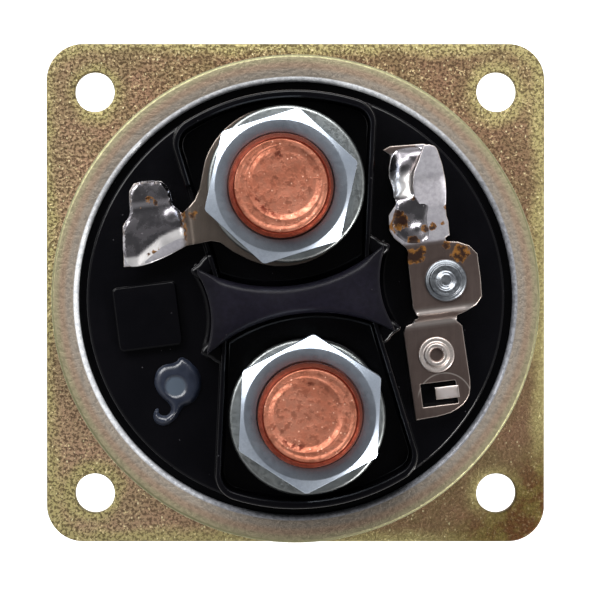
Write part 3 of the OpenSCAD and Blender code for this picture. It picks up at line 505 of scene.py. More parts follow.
def bay_path(d, foot=2.97):
    """Outline of a stud bay grown by d, from foot to foot, with the same count for every d.

    A line leans out by bay_lean, an arc of bay_corner turns it, and an arc of bay_in closes it.
    Along the sides the growth outwards is 0.66 of what it is along the rim.
    """
    side = bay_side - bay_corner
    along = math.sqrt((bay_in - bay_corner) ** 2 - side ** 2)
    cx = side * math.cos(bay_lean) + along * math.sin(bay_lean)
    cy = along * math.cos(bay_lean) - side * math.sin(bay_lean)
    turn = math.atan2(cy, cx)
    thin = 0.66 * d if d > 0 else d
    foot_x = (bay_side + thin + foot * math.sin(bay_lean)) / math.cos(bay_lean)
    angles = np.linspace(-bay_lean, turn, 15)
    grown = bay_corner + thin + (d - thin) * np.linspace(0, 1, 15)
    bend = around(grown, angles, (cx, cy))
    share = np.linspace(0, 1, 90, endpoint=False)[:, None]
    side_line = np.array((foot_x, foot)) * (1 - share) + bend[0] * share
    angles = np.linspace(turn, math.pi - turn, 61)[1:-1]
    rim_line = around(bay_in + d, angles)
    right = np.concatenate((side_line, bend))
    return np.concatenate((right, rim_line, (right * (-1, 1))[::-1]))


def bay_wall(notched):
    """A bay's wall as a closed shell: rounded top edges, and a fillet along its foot.

    Where it is notched, its top drops along the left side between two heights of v.
    """
    fillet, edge = 0.45, 0.28
    arc = np.linspace(0, math.pi / 2, 6)
    rows = [(-fillet + fillet * math.sin(t), fillet - fillet * math.cos(t), 0) for t in arc]
    rows += [(edge - edge * math.cos(t), -edge + edge * math.sin(t), 1) for t in arc]
    rows += [(wall_t - d, z, top) for d, z, top in rows[::-1]]
    rows.append(rows[0])
    path = bay_path(0)
    top = np.full(len(path), WALL_TOP)
    if notched:
        near, far, notch_z = 6.3, 14.7, 52.6
        inside = ramp((path[:, 1] - near) / 0.25) * ramp((far - path[:, 1]) / 0.25)
        top -= inside * (path[:, 0] < -4) * (WALL_TOP - notch_z)
    lines = []
    for d, z, from_top in rows:
        line = bay_path(d)
        line *= np.minimum(1, WALL_R / np.linalg.norm(line, axis=1, keepdims=True))
        lines.append(np.column_stack((line, top + z if from_top else 0 * top + FLOOR + z - 0.02)))
    count = len(path)
    faces = grid_faces(len(rows), count, False, flip=True)
    faces += [[i * count for i in range(len(rows) - 1)],
              [i * count + count - 1 for i in range(len(rows) - 1)]]
    return np.concatenate(lines), faces


def barrier_loop():
    """The waisted outline: hollow arcs at both ends and along both sides, with cut ear tips."""
    end_r, side_r, tip = 10.25, 19.11, 10.9
    end_x, side_y = 9.9 + end_r, 1.65 + side_r
    top = math.asin(math.sqrt(end_r ** 2 - (end_x - tip) ** 2) / end_r)
    reach = math.asin(tip / side_r)
    right = [(end_x - end_r * math.cos(a), end_r * math.sin(a)) for a in np.linspace(-top, top, 20)]
    upper = [(side_r * math.sin(a), side_y - side_r * math.cos(a))
             for a in np.linspace(reach, -reach, 40)]
    points = np.array(right + upper)
    return np.concatenate((points, -points))


def shoulder(x, y):
    """Radius of the barrier's top edge: 0.3 at the ear tips, growing to 0.9 along the sides."""
    return 0.3 + 0.6 * ramp((10.6 - np.abs(x)) / 3) * ramp((6.4 - np.hypot(x, y) + 5) / 2.5)


def softened(loop):
    """An outline whose corners are cut at a quarter of each side, twice over."""
    loop = np.asarray(loop, float)
    for _ in range(2):
        following = np.roll(loop, -1, axis=0)
        loop = np.stack((0.75 * loop + 0.25 * following, 0.25 * loop + 0.75 * following),
                        axis=1).reshape(-1, 2)
    return loop


def square_at(u, v, w, h, soft=0.5):
    """A square outline with softened corners, centred on (u, v)."""
    a, b = w / 2 - soft, h / 2 - soft
    arc = np.radians(np.linspace(0, 90, 5))
    return np.concatenate([around(soft, arc + turn, (u + sx * a, v + sy * b))
                           for sx, sy, turn in ((1, -1, -math.pi / 2), (1, 1, 0),
                                                (-1, 1, math.pi / 2), (-1, -1, math.pi))])


f = Finish("phenolic", 0.0, 0.2, Specular_IOR_Level=0.22)
height = f.axis("Z")
broad, fine = f.patch(120), f.patch(1800)
away = f.add("VectorMath", {0: f.mapped({"Scale": (1, 1, 0)})}, operation="LENGTH").outputs["Value"]
dust = f.maths("MAXIMUM", f.speck(420, 0.05), f.speck(900, 0.1))
colour = f.layers(
    f.mix(broad, (3, 3, 6), (6, 5, 9)),
    # Painted sheen on the barrier's top, then painted darker again away from the middle.
    (f.between(height, 0.0568, 0.058), f.mix(fine, (13, 11, 20), (18, 16, 26))),
    (f.between(away, 0.0075, 0.0115, 0.0, 0.6), (4, 4, 7)), (f.times(dust, 0.4), (110, 108, 112)),
)
f.use(colour, f.plus(f.between(height, 0.0565, 0.058, 0.17, 0.34), f.times(broad, 0.06)),
      (fine, 0.002), (broad, 0.02))

parts = [revolve(rounded([
    (0, WELL_Z, 0), (WELL_R, WELL_Z, 0), (WELL_R, UNDER_Z, 0), (SKIRT_IN, UNDER_Z, 0),
    (SKIRT_IN, SKIRT_FOOT, 0), (SKIRT_R, SKIRT_FOOT, 0.1), (SKIRT_R, SHOULDER_Z, 0.2),
    (CAP_R, SHOULDER_Z, 0.1), (CAP_R, FLOOR, 0.38), (0, FLOOR, 0)
], 8), 256)]
for half_turn in (0, 180):
    verts, faces = bay_wall(half_turn == 0)
    parts.append((turned(verts, half_turn), faces))
    boss = rounded([(4, FLOOR - 0.5, 0), (BOSS_R, FLOOR - 0.5, 0), (BOSS_R, BOSS_TOP, 0.35),
                    (BOSS_IN, BOSS_TOP, 0), (4, BOSS_TOP, 0), (4, FLOOR - 0.5, 0)], 6)
    parts.append(revolve(boss, 96, (0, STUD_V if half_turn == 0 else -STUD_V)))
for loop, top, edge, foot in (
    (barrier_loop(), BARRIER_TOP, shoulder, 0.8), (square_at(-17.4, 0.15, 7.3, 7.3), 52.2, 0.12, 0.15),
    (square_at(17.55, 0.2, 6.6, 6.6), 53.98, 0.2, 0.3),
    (square_at(15.55, -8.33, 5.3, 5.45), 52.18, 0.2, 0.3),
):
    parts.append(sheet(loop, [], level(FLOOR - 0.4), level(top), edge=edge, step=0.35,
                       foot=(FLOOR - 0.01, foot))[:2])
gusset = np.array([(-11.8, -5.0), (-10.7, -5.45), (-10.2, -6.1), (-9.3, -6.6), (-8.5, -4.6),
                   (-10.4, -3.5), (-11.5, -4.2)])
for mirror, order in (((1, 1), 1), ((-1, 1), -1), ((-1, -1), 1), ((1, -1), -1)):
    parts.append(sheet(softened((gusset * mirror)[::order]), [], level(FLOOR - 0.4), level(55.9),
                       edge=0.5, step=0.35)[:2])
verts, faces = joined(*parts)
piece("cap", on_cap(verts), faces, f, "terminal_cap")


# Studs.
# Copper bolts with a flatted head inside, a rolled thread above the nut and a cold-headed end: a
# raised rim, a fine second ridge and an off-centre dished floor with shallow forge marks. The
# thread and the side are painted darker as shade, the dish's lower-left wall carries painted shade
# with dark spots, and small bright specks are painted glints.

f = stud_copper = Finish("stud_copper", 1.0, 0.48)
broad, fine = f.patch(160), f.patch(1500)
pits = f.patch(1300, 0.46, 0.62)
# Bright specks are painted glints, the darker thread and side are painted shade, and the dish's
# lower-left wall carries painted shade with dark spots.
colour = f.layers(
    f.mix(broad, (198, 134, 110), (178, 112, 88)), (f.times(fine, 0.5), (146, 82, 62)),
    (f.times(pits, 0.6), (132, 78, 60)), (f.speck(2300, 0.3), (255, 206, 180)),
    (f.held("thread"), f.mix(fine, (146, 70, 52), (118, 52, 38))),
    (f.between(f.axis("Z"), 0.0651, 0.0647), (104, 54, 42)),
    (f.times(f.held("dish_shade_and_spots"), f.patch(1300, 0.45, 0.6)), (96, 44, 34)),
)
f.use(colour, f.span(fine, 0.46, 0.56), (fine, 0.006), (pits, 0.016))


def stud(name, side, nut_top, dish, seed, node):
    """A stud at v = side * STUD_V. Thread radius = thread_r - depth * |2 f - 1|, where f is the
    fractional part of z / pitch - angle / 360, and the end's height is a sum of smooth steps of
    the distance from the axis and from the dish's own centre."""
    columns, thread_r, pitch, depth, end_z = 192, 6.0, 1.75, 0.62, 65.5
    angle = np.arange(columns) * 2 * math.pi / columns
    z = np.concatenate(((48.0, 48.0, nut_top - 5.6, nut_top - 5.5, nut_top - 0.05),
                        np.linspace(nut_top, end_z - 0.08, 56)))[:, None]
    thread = (z / pitch - angle / (2 * math.pi)) % 1
    thread = thread_r - depth * np.clip(1.25 * np.abs(2 * thread - 1) - 0.12, 0, 1)
    radius = np.minimum(thread, 5.45 + (end_z - z) * 1.1)
    radius[:5] = np.array((0, thread_r, thread_r, 5.66, 5.66))[:, None]
    side_wall = around(radius, angle, (0, 0), z)
    r = np.concatenate((np.linspace(5.42, 3.2, 40), np.linspace(3.1, 0, 22)))[:, None]
    x, y = r * np.cos(angle), r * np.sin(angle)
    off = np.hypot(x - dish[0], y - dish[1])
    high = end_z - 0.2 + 0.2 * ramp((5.44 - r) / 0.2) - 0.09 * ramp((5.05 - r) / 0.45)
    high = high + 0.05 * np.exp(-((off - 4.3) / 0.16) ** 2)
    high -= 0.2 * ramp((4.25 - off) / 0.7) + 0.06 * ramp((3.4 - off) / 3)
    # Painted shade along the dish's lower-left wall, and a dark spot near the top of the disc.
    dish_shade_and_spots = np.exp(-((off - 3.75) / 0.4) ** 2) * ramp(1.6 - np.abs(np.degrees(angle) - 226) / 30)
    dish_shade_and_spots = np.maximum(dish_shade_and_spots, 0.8 * ramp((0.9 - np.hypot(x - 0.2, y - 3.7)) / 0.7))
    rng = np.random.default_rng(seed)
    for _ in range(9):
        k, phase, size = rng.uniform(0.5, 2.2, 2), rng.uniform(0, 6.28), rng.uniform(0.3, 1)
        mark = np.sin(k[0] * x + k[1] * y + phase) * np.sin(k[1] * x - 0.7 * k[0] * y + 2 * phase)
        high += 0.012 * size * mark * ramp((4.9 - r) / 0.8)
    end = np.stack((x, y, high), axis=-1)
    verts = np.concatenate((side_wall, end)).reshape(-1, 3) + (0, side * STUD_V, 0)
    head = circle((0, 0), 7.5, 96)
    head[:, 1] = np.clip(head[:, 1], -6.525, 6.525) + side * STUD_V
    head_verts, head_faces, _ = sheet(head, [], level(44.75), level(48.1), edge=0.35, step=0.6)
    verts, faces = joined((verts, grid_faces(len(z) + len(r), columns, True)),
                          (head_verts, head_faces))
    count, extra = len(z) * columns, len(head_verts)
    values = {"thread": np.r_[np.ones(count), ramp((r * np.ones(columns) - 5.3) / 0.1).ravel(),
                              np.ones(extra)],
              "dish_shade_and_spots": np.r_[np.zeros(count), dish_shade_and_spots.ravel(), np.zeros(extra)]}
    piece(name, on_cap(verts), faces, stud_copper, node, sharp=50, values=values)


stud("stud_motor", 1, 61.9, (0.42, 0.3), 3, "motor_stud")
stud("stud_battery", -1, 61.1, (-0.45, 0.1), 8, "battery_stud")


# Nuts and washers.
# A nut's radius follows its hexagon, and its ends are turned off by a cone, which leaves the
# bright corners. Each washer lies a little off its stud's centre.

f = blue_zinc = Finish("blue_zinc", 1.0, 0.36)
broad, fine = f.patch(200), f.patch(2300, 0.38, 0.62)
colour = f.layers(f.mix(broad, (200, 210, 222), (186, 197, 211)), (f.times(fine, 0.2), (124, 134, 148)))
f.use(colour, f.span(fine, 0.31, 0.35), (fine, 0.001))

f = washer_zinc = Finish("washer_zinc", 1.0, 0.42)
broad, fine = f.patch(250), f.patch(2600, 0.38, 0.62)
colour = f.layers(f.mix(broad, (162, 167, 166), (148, 152, 151)), (f.times(fine, 0.3), (140, 142, 142)))
f.use(colour, f.span(fine, 0.34, 0.44), (fine, 0.005))


def nut(name, side, low, turn, node):
    """A nut: hexagon radius = half the width / cos of the angle from the flat's middle, cut at
    the corners, and its ends drop by half of what passes the flat ring's radius."""
    columns, half_width, corner, flat_ring, thick = 288, 8.0, 9.14, 7.62, 5.5
    steps = np.arange(columns) * 360 / columns
    angle = np.radians(steps + turn)
    hexagon = np.minimum(half_width / np.cos(np.radians(steps % 60 - 30)), corner)
    high = low + thick
    drop = 0.5 * np.maximum(hexagon - flat_ring, 0)
    rows = [(5.72, low + 0.5), (6.15, low), (7.5, low), (7.66, low + 0.02)]
    rows += [(hexagon - 0.04, low + drop - 0.02), (hexagon, low + drop + 0.06)]
    rows += [(hexagon, high - drop - 0.06), (hexagon - 0.04, high - drop + 0.02)]
    rows += [(7.66, high - 0.02), (7.6, high - 0.004), (7.5, high), (6.3, high), (6.2, high - 0.03),
             (5.72, high - 0.45), (5.72, low + 0.5)]
    verts = np.concatenate([around(radius, angle, (0, side * STUD_V), z) for radius, z in rows])
    piece(name, on_cap(verts), grid_faces(len(rows), columns, True), blue_zinc, node,
          sharp=24)


def washer(name, side, low, turn, node):
    """A washer moved 0.65 mm towards turn (degrees), with a rolled upper edge."""
    high, hole, rim = low + 1.6, 6.72, 9.15
    profile = rounded([(hole, low, 0), (rim, low, 0.1), (rim, high, 0.42), (hole, high, 0.15),
                       (hole, low, 0)], 7)
    verts, faces = revolve(profile, 192, around(0.65, math.radians(turn), (0, side * STUD_V)))
    piece(name, on_cap(verts), faces, washer_zinc, node)


washer("washer_motor", 1, 54.8, 17, "motor_washer")
washer("washer_battery", -1, 54.0, 234, "battery_washer")
nut("nut_motor", 1, 56.4, 10.3, "motor_nut")
nut("nut_battery", -1, 55.6, 20.2, "battery_nut")


# Motor lug.
# Blanked from brass sheet and tinned: a ring under the upper washer, a neck that narrows, a short
# step down and the tab, which is covered by solder. "flux" says how brown a vertex is.

def blot(x, y, u, v, radius, soft=0.6):
    """1 within a radius of (u, v) and 0 outside it, with a soft edge."""
    return ramp((radius + soft / 2 - np.hypot(x - u, y - v)) / soft)


def amber_over(f, colour):
    """Colour with dried flux over it, in ragged patches where the flux attribute is high."""
    film = f.plus(f.held("flux"), f.times(f.patch(900, 0.3, 0.7), 0.5))
    film = f.plus(film, f.times(f.patch(2400, 0.3, 0.7), 0.3))
    mask = f.between(film, 0.9, 1.06)
    f.feed("Metallic", f.between(mask, 0.2, 0.8, 1.0, 0.35))
    f.feed("Coat Weight", f.times(mask, 0.8))
    cloud = f.between(f.plus(film, f.times(f.patch(1300, 0.3, 0.7), 0.7)), 1.2, 1.8)
    return f.mix(mask, colour, f.mix(cloud, (132, 88, 36), (42, 24, 16)))


def flat_brass_finish(name, first, second, mark=None):
    """Brass sheet with fine grain, tinned parts and amber flux; its pale cut edges and bends are
    painted highlights.

    mark is (x, y, radius) in mm of a fine circle that a tool left on the sheet.
    """
    f = Finish(name, 1.0, 0.36)
    grain = f.patch(1700, 0.3, 0.7, (1, 0.1, 1))
    broad, fine = f.patch(150, 0.3, 0.7), f.patch(2200)
    colour = f.layers(
        f.mix(broad, first, second), (f.times(grain, 0.16), (70, 60, 56)),
        (f.held("tin"), f.mix(fine, (192, 190, 195), (176, 173, 180))),
        # Pale cut edges and bends: painted highlights.
        (f.between(f.held("rim"), 0.11, 0.02), (196, 186, 178)),
        (f.times(f.held("bend"), 0.9), (240, 230, 224)),
    )
    if mark:
        x, y, radius = (size / 1000 for size in mark)
        away = f.add("VectorMath", {0: f.mapped({"Scale": (1, 1, 0)}), 1: (x, y, 0)},
                     operation="DISTANCE").outputs["Value"]
        ring = f.between(f.maths("ABSOLUTE", f.maths("SUBTRACT", away, radius)), 0.00011, 0.00003)
        ring = f.times(ring, f.between(f.axis("Y"), -0.0118, -0.0106))
        colour = f.mix(f.times(ring, 0.7), colour, (226, 216, 208))
    f.use(amber_over(f, colour), f.span(f.held("tin"), 0.34, 0.46),
          (fine, 0.004), (grain, 0.004))
    return f


SHEET, RING_R, RING_HOLE = 0.8, 9.35, 6.3
TAB_Z, PAD_Z = 53.1, 54.0
lug_brass = flat_brass_finish("lug_brass", (146, 134, 124), (126, 114, 104))
lug_loop = np.concatenate((
    around(RING_R, np.radians(np.linspace(-122, 154.2, 100)), (0, STUD_V)),
    [(-9.0, 15.6), (-9.5, 14.1), (-10.2, 12.9), (-11.03, 12.13), (-11.75, 11.6), (-12.51, 12.0),
     (-13.04, 12.6), (-12.89, 13.67), (-13.19, 14.83), (-13.8, 15.61), (-16.16, 15.8),
     (-16.99, 15.7), (-17.6, 14.9), (-17.75, 14.0), (-17.75, 11.82), (-18.6, 11.3),
     (-18.89, 10.9), (-19.35, 6.2), (-17.07, 6.1), (-13.73, 6.97), (-11.75, 7.75),
     (-10.29, 7.83), (-8.9, 7.95), (-7.85, 7.64), (-6.55, 6.42)]
))


def lug_low(x, y):
    """Underside of the lug: TAB_Z on the tab, and PAD_Z from the step to the ring."""
    return TAB_Z + (PAD_Z - TAB_Z) * ramp((x + 11.75) / 0.8)


verts, faces, rim = sheet(lug_loop, [circle((0, STUD_V), RING_HOLE, 72)], lug_low,
                          lambda x, y: lug_low(x, y) + SHEET, edge=0.14, step=0.22, inside=0.4)
u, v = verts[:, 0], verts[:, 1]
flux = np.maximum(blot(u, v, -10.6, 11.3, 0.6, 0.9), 0.75 * ramp((0.4 - abs(u + 11.75)) / 0.3))
piece("lug", on_cap(verts), faces, lug_brass, "motor_lug",
      values={"rim": rim, "tin": ramp((-11.8 - u) / 0.4), "flux": flux})


# Solder on the lug.
# A cast mass over the tab and the coil wire's end: dark mirror-like metal with a low crown, raised
# over the wire, with brown flux near the tab's lower corner and a wide dark brown film over the
# raised part that is partly flux and partly painted shade.

def blots(x, y, *spots):
    """The highest of several blots, each given as (u, v, radius, soft)."""
    return np.maximum.reduce([blot(x, y, *spot) for spot in spots])


def mound(loop, base, height, step=0.22):
    """A cast mass on a surface: its rim lies on base, and inside it rises by height(x, y, d),
    where d is the distance from the rim."""
    loops = [spaced(loop, step)]

    def top(x, y):
        d = nearest(np.stack((np.ravel(x), np.ravel(y)), axis=1), loops)
        return base(x, y) + height(x, y, np.maximum(d - 0.02, 0))

    return sheet(loop, [], lambda x, y: base(x, y) - 0.05, top, edge=0.02, step=step,
                 inside=step * 1.1)


def rolled(d, width):
    """A quarter circle: the root of 1 - (1 - d / width) ** 2, and 1 past the width."""
    return np.sqrt(np.clip(1 - (1 - np.minimum(d / width, 1)) ** 2, 0, 1))


def ripples(x, y, seed, size, count=8, low=0.7, high=2.6):
    """Smooth random waves: the mean of count products of two sines, times size."""
    rng = np.random.default_rng(seed)
    total = 0
    for _ in range(count):
        k, phase = rng.uniform(low, high, 2), rng.uniform(0, 6.28, 2)
        first = np.sin(k[0] * x + k[1] * y + phase[0])
        total = total + first * np.sin(k[1] * x - k[0] * y + phase[1])
    return size * total / math.sqrt(count)


f = solder = Finish("solder", 1.0, 0.22)
broad, fine = f.patch(350, 0.4, 0.6), f.patch(2600)
pits, matte = f.speck(1800, 0.16), f.held("matte")
colour = f.layers(f.mix(broad, (170, 167, 171), (148, 144, 149)), (pits, (70, 66, 68)),
                  (matte, (228, 226, 226)))
gloss = f.times(f.between(matte, 1.0, 0.0), f.span(broad, 0.2, 0.3))
f.use(amber_over(f, colour), f.plus(gloss, f.times(matte, 0.46)),
      (broad, 0.008), (fine, 0.002), (f.times(pits, -1), 0.02))

tab_loop = softened([
    (-12.1, 8.1), (-12.15, 11.6), (-12.7, 12.3), (-13.2, 12.7), (-13.0, 13.7), (-13.35, 14.75),
    (-13.9, 15.45), (-16.1, 15.65), (-16.9, 15.5), (-17.55, 14.3), (-17.6, 11.9), (-18.7, 11.0),
    (-19.15, 6.4), (-17.1, 6.25), (-13.8, 7.15)
])
tab_loop = tab_loop + normals(tab_loop) * 0.22


def past_fold(x, y):
    """How far (x, y) lies below the slanting line across the tab, along v."""
    return np.interp(x, (-17.6, -14.65, -12.0), (7.3, 9.3, 10.1)) - y


def tab_height(x, y, d):
    """Solder over the tab: a flat top that slopes down past the slanting line, a raised part over
    the wire's end, a drop at the neck, and a rim that rounds off within 0.36 mm."""
    flat = 0.34 - 0.13 * np.log1p(np.exp(5 * past_fold(x, y))) / 5 * 2 - 0.08 * ramp((y - 10.5) / 2)
    raised = 0.31 * ramp((y - 12.5) / 1.3) + 0.07 * blot(x, y, -16.7, 14.9, 0.3, 0.7)
    drop = 0.2 * np.clip(1 - (np.hypot(x + 13.1, y - 11.5) / 0.9) ** 2, 0, 1)
    return (flat + raised + drop + ripples(x, y, 5, 0.02, high=1.6)) * rolled(d, 0.36)


verts, faces, rim = mound(tab_loop, level(TAB_Z + SHEET), tab_height)
u, v = verts[:, 0], verts[:, 1]
# Flux spots near the lower corner; the two wide blots over the raised part are painted shade as well as
# flux.
flux_and_painted_shade = np.maximum.reduce([
    blots(u, v, (-16.3, 7.3, 0.3, 1.1), (-15.6, 7.45, 0.35, 1.1), (-14.9, 7.6, 0.3, 1.1),
          (-16.4, 12.9, 0.1, 1.1)),
    1.2 * blot(u, v, -15.6, 13.7, 0.4, 1.6), 1.1 * blot(u, v, -14.7, 13.2, 0.2, 1.3)
]) * (rim > 0.2)
piece("lug_solder", on_cap(verts), faces, solder, "motor_solder",
      values={"flux": flux_and_painted_shade, "matte": ramp((past_fold(u, v) + 0.1) / 0.3)})


# Signal strip.
# One strip of tinned brass: a tongue with a window and a sprung latch, a step up, the pad, and the
# flag, whose outer leaf is folded back over the wires. The flag is bright with tin.

TONGUE_Z = 52.2
strip_brass = flat_brass_finish("strip_brass", (142, 126, 120), (126, 110, 104),
                                mark=(17.454, -11.775, 3.16))
strip_loop = np.array([
    (12.15, -15.8), (14.77, -15.67), (15.6, -15.55), (16.35, -15.41), (17.2, -15.05),
    (17.83, -14.67), (18.35, -14.15), (18.73, -13.56), (18.93, -12.8), (19.02, -11.91),
    (18.9, -5.5), (18.3, -4.8), (18.45, -4.2), (19.3, -3.95), (20.82, -3.22), (21.53, -2.39),
    (21.65, -0.26), (21.63, 2.64), (20.84, 3.67), (19.54, 4.29), (18.25, 4.5), (18.15, 4.9),
    (18.71, 5.19), (18.75, 6.84), (18.62, 7.4), (18.64, 8.14), (18.74, 8.88), (18.92, 10.1),
    (18.98, 11.45), (18.84, 13.41), (18.48, 15.21), (18.24, 15.62), (16.94, 16.08),
    (13.09, 16.27), (12.23, 15.94), (13.1, 15.2), (12.7, 13.89), (12.55, 12.75), (12.84, 11.27),
    (12.99, 9.5), (12.4, 8.85), (11.95, 8.3), (11.82, 6.55), (12.23, 5.6), (13.5, 4.3),
    (13.65, 3.75), (13.51, 3.21), (13.41, -2.75), (13.72, -3.6), (13.95, -3.8), (13.8, -4.05),
    (13.5, -4.1), (13.2, -4.5), (12.4, -4.75), (12.0, -5.49)
])
window = np.array([(13.18, -14.4), (17.32, -14.4), (17.32, -11.7), (13.18, -11.7)])


def strip_low(x, y):
    """Underside of the strip: TONGUE_Z on the tongue, and PAD_Z on the pad and the flag."""
    return TONGUE_Z + (PAD_Z - TONGUE_Z) * ramp((y + 4.6) / 1.25)


flat_part = sheet(strip_loop, [window], strip_low, lambda x, y: strip_low(x, y) + SHEET,
                  edge=0.12, step=0.2, inside=0.36)
latch_loop = [(14.85, -13.75), (17.6, -13.75), (17.6, -12.3), (14.85, -12.3)]
latch = sheet(latch_loop, [], lambda x, y: TONGUE_Z - 0.36 * (17.32 - x),
              lambda x, y: TONGUE_Z + SHEET - 0.36 * (17.32 - x), edge=0.1, step=0.2)
leaf_loop = np.concatenate((
    [(16.97, 15.85), (16.2, 14.3), (15.45, 12.93), (15.1, 11.35), (15.15, 10.2), (15.6, 9.2),
     (16.6, 8.5), (17.8, 8.2), (18.4, 8.3)],
    strip_loop[26:32], [(17.6, 15.9)]
))


def leaf_high(x, y):
    """Upper side of the folded leaf: it rises out of the flag, and rolls down at its outer edge."""
    rise = ramp((y - 8.0) / 4.5)
    outer = np.interp(y, (8, 9, 11.4, 13.4, 15.3, 16), (18.5, 18.76, 18.98, 18.84, 18.45, 18.2))
    roll = 0.12 * (1 - np.sqrt(np.clip(1 - ramp((x - outer + 0.8) / 0.8) ** 2, 0.02, 1)))
    return 54.72 + 1.5 * rise - roll * rise


leaf = sheet(leaf_loop, [], lambda x, y: leaf_high(x, y) - 0.6, leaf_high, edge=0.12, step=0.2,
             inside=0.34)
verts, faces = joined(flat_part[:2], latch[:2], leaf[:2])
leaf_rim = np.where(leaf[0][:, 1] > 10.5, leaf[2], 1)
rim = np.concatenate((flat_part[2], latch[2], leaf_rim))
u, v = verts[:, 0], verts[:, 1]
amber = blots(u, v, (12.9, 7.0, 1.2, 1.6), (14.3, 3.1, 1.1, 1.4), (15.4, 3.9, 0.6, 0.9),
              (19.7, 3.0, 1.1, 1.4), (18.2, 4.0, 0.6, 0.8), (18.9, 8.4, 0.5, 0.8),
              (16.9, 6.4, 0.5, 0.7), (18.1, 6.7, 0.4, 0.7))
# Pale bands at the two bends of the step: painted highlights.
bend = np.maximum(np.exp(-((v + 4.66) / 0.34) ** 2), np.exp(-((v + 3.44) / 0.34) ** 2))
bend *= (v < -2) & (v > -6)
# The latch is painted pale all over: a painted highlight.
bend[len(flat_part[0]):len(flat_part[0]) + len(latch[0])] = 0.75
tinned = ramp((v - 4.4) / 0.5) * (1 - ramp((v - 15.2) / 0.3) * (u < 16.1))
piece("strip", on_cap(verts), faces, strip_brass, "signal_strip",
      values={"rim": rim, "tin": tinned, "flux": amber, "bend": bend})


# Solder on the flag.
# A bulb over the two wires' ends beside the folded leaf, and a thin wavy splash on the flag's
# foot, with a few drops of amber flux.

bulb_loop = softened([
    (12.75, 9.9), (14.9, 9.9), (15.5, 11.4), (16.5, 12.9), (17.3, 14.3), (17.3, 15.6),
    (15.2, 15.95), (13.4, 15.7), (12.75, 13.9), (12.6, 12.6), (12.9, 11.2)
])


def bulb_height(x, y, d):
    """Solder round the wires: two smooth bulbs beside the leaf, sinking towards the pad."""
    crown = 1 - (1 - np.minimum(d / 1.4, 1)) ** 2
    off = np.hypot((x - 14.1) / 1.25, (y - 13.5) / 1.2)
    bulb = 0.35 * np.clip(1 - (off / 1.3) ** 2, 0, 1)
    upper = 0.2 * blot(x, y, 15.3, 15.0, 0.5, 1.6)
    return (0.75 + bulb + upper + ripples(x, y, 21, 0.055, high=2.2)) * crown


splash_loop = softened([
    (12.2, 6.7), (12.6, 5.7), (13.6, 4.8), (15.0, 4.6), (16.1, 4.9), (16.5, 5.8), (16.3, 6.9),
    (16.5, 8.0), (16.9, 9.2), (16.7, 10.4), (15.9, 11.0), (15.2, 10.4), (14.2, 10.1), (13.1, 10.0),
    (12.8, 9.0), (12.3, 8.0)
])


def splash_height(x, y, d):
    """A thin wavy splash of solder over the foot of the flag, with a ridge across it."""
    ridge = 0.3 * np.exp(-(np.hypot(x - 15.0, (y - 6.3) / 0.8) / 0.9) ** 2)
    return (0.2 + ridge + ripples(x, y, 33, 0.035, low=0.8, high=2.4)) * rolled(d, 0.8)


bulb = mound(bulb_loop, level(PAD_Z + SHEET), bulb_height)
splash = mound(splash_loop, level(PAD_Z + SHEET - 0.02), splash_height)
verts, faces = joined(bulb[:2], splash[:2])
u, v = verts[:, 0], verts[:, 1]
frost = ramp((13.5 - v) / 1.2) * ramp((v - 10.0) / 0.3)
amber = blots(u, v, (12.9, 7.5, 1.3, 1.5), (15.9, 6.3, 0.5, 0.8), (14.4, 4.9, 0.8, 0.8),
              (18.4, 8.3, 0.5, 0.7), (15.1, 9.9, 0.4, 0.6))
piece("strip_solder", on_cap(verts), faces, solder, "signal_solder",
      values={"flux": amber, "matte": frost})


# Rivets.
# The pad's rivet is solid, with a turned crown. The tongue's is hollow, and its end is rolled over
# in two rings, painted pale as a painted highlight.

f = rivet_zinc = Finish("rivet_zinc", 1.0, 0.3)
broad, fine = f.patch(400, 0.3, 0.7), f.patch(2600)
f.use(f.mix(broad, (140, 145, 150), (130, 134, 140)), f.span(fine, 0.3, 0.4),
      (fine, 0.003))

# The eyelet is painted pale all over: a painted highlight on its rolled rings.
f = eyelet_painted_sheen = Finish("eyelet_painted_sheen", 1.0, 0.36)
fine = f.patch(2600)
f.use(f.mix(fine, (226, 216, 210), (196, 186, 180)), f.span(fine, 0.32, 0.42),
      (fine, 0.003))


def rivet(name, at, profile, node, finish):
    """A rivet's head turned about (u, v) = at, on its shank through the cap."""
    verts, faces = revolve(profile, 96, at)
    piece(name, on_cap(verts), faces, finish, node, sharp=50)


rivet("rivet_pad", (17.6, 0), np.concatenate((
    rounded([(0, 46.6, 0), (2.3, 46.6, 0.2), (2.3, 47.5, 0.1), (1.6, 47.5, 0), (1.6, 54.8, 0),
             (2.45, 54.8, 0.05), (2.45, 55.25, 0.3), (1.95, 55.34, 0.1), (1.82, 55.65, 0.12),
             (1.5, 55.62, 0)], 5),
    [(1.4, 55.60), (1.28, 55.64), (1.12, 55.57), (0.98, 55.64), (0.82, 55.56), (0.68, 55.63),
     (0.5, 55.55), (0.34, 55.62), (0.16, 55.58), (0, 55.63)]
)), "signal_rivet", rivet_zinc)
rivet("rivet_tongue", (15.5, -8.5), rounded([
    (0.72, 46.6, 0), (2.3, 46.6, 0.2), (2.3, 47.5, 0.1), (1.4, 47.5, 0), (1.4, 53.0, 0),
    (2.1, 53.0, 0.05), (2.1, 53.35, 0.18), (1.55, 53.28, 0.15), (1.28, 53.6, 0.14),
    (0.86, 53.6, 0.12), (0.74, 53.1, 0), (0.72, 46.6, 0)
], 6), "eyelet_rivet", eyelet_painted_sheen)


# Sealing resin.
# A drop over the cap's filling hole, with a horn above it, a curled tail below and a paler disc
# where the stem shows through.

f = Finish("dark_resin", 0.0, 0.3, Coat_Weight=0.5, Coat_Roughness=0.12)
fine = f.patch(500, 0.3, 0.7)
colour = f.layers(f.mix(fine, (24, 29, 42), (34, 40, 54)), (f.held("pale"), (72, 82, 94)))
f.use(colour, f.span(fine, 0.28, 0.34), (fine, 0.006))

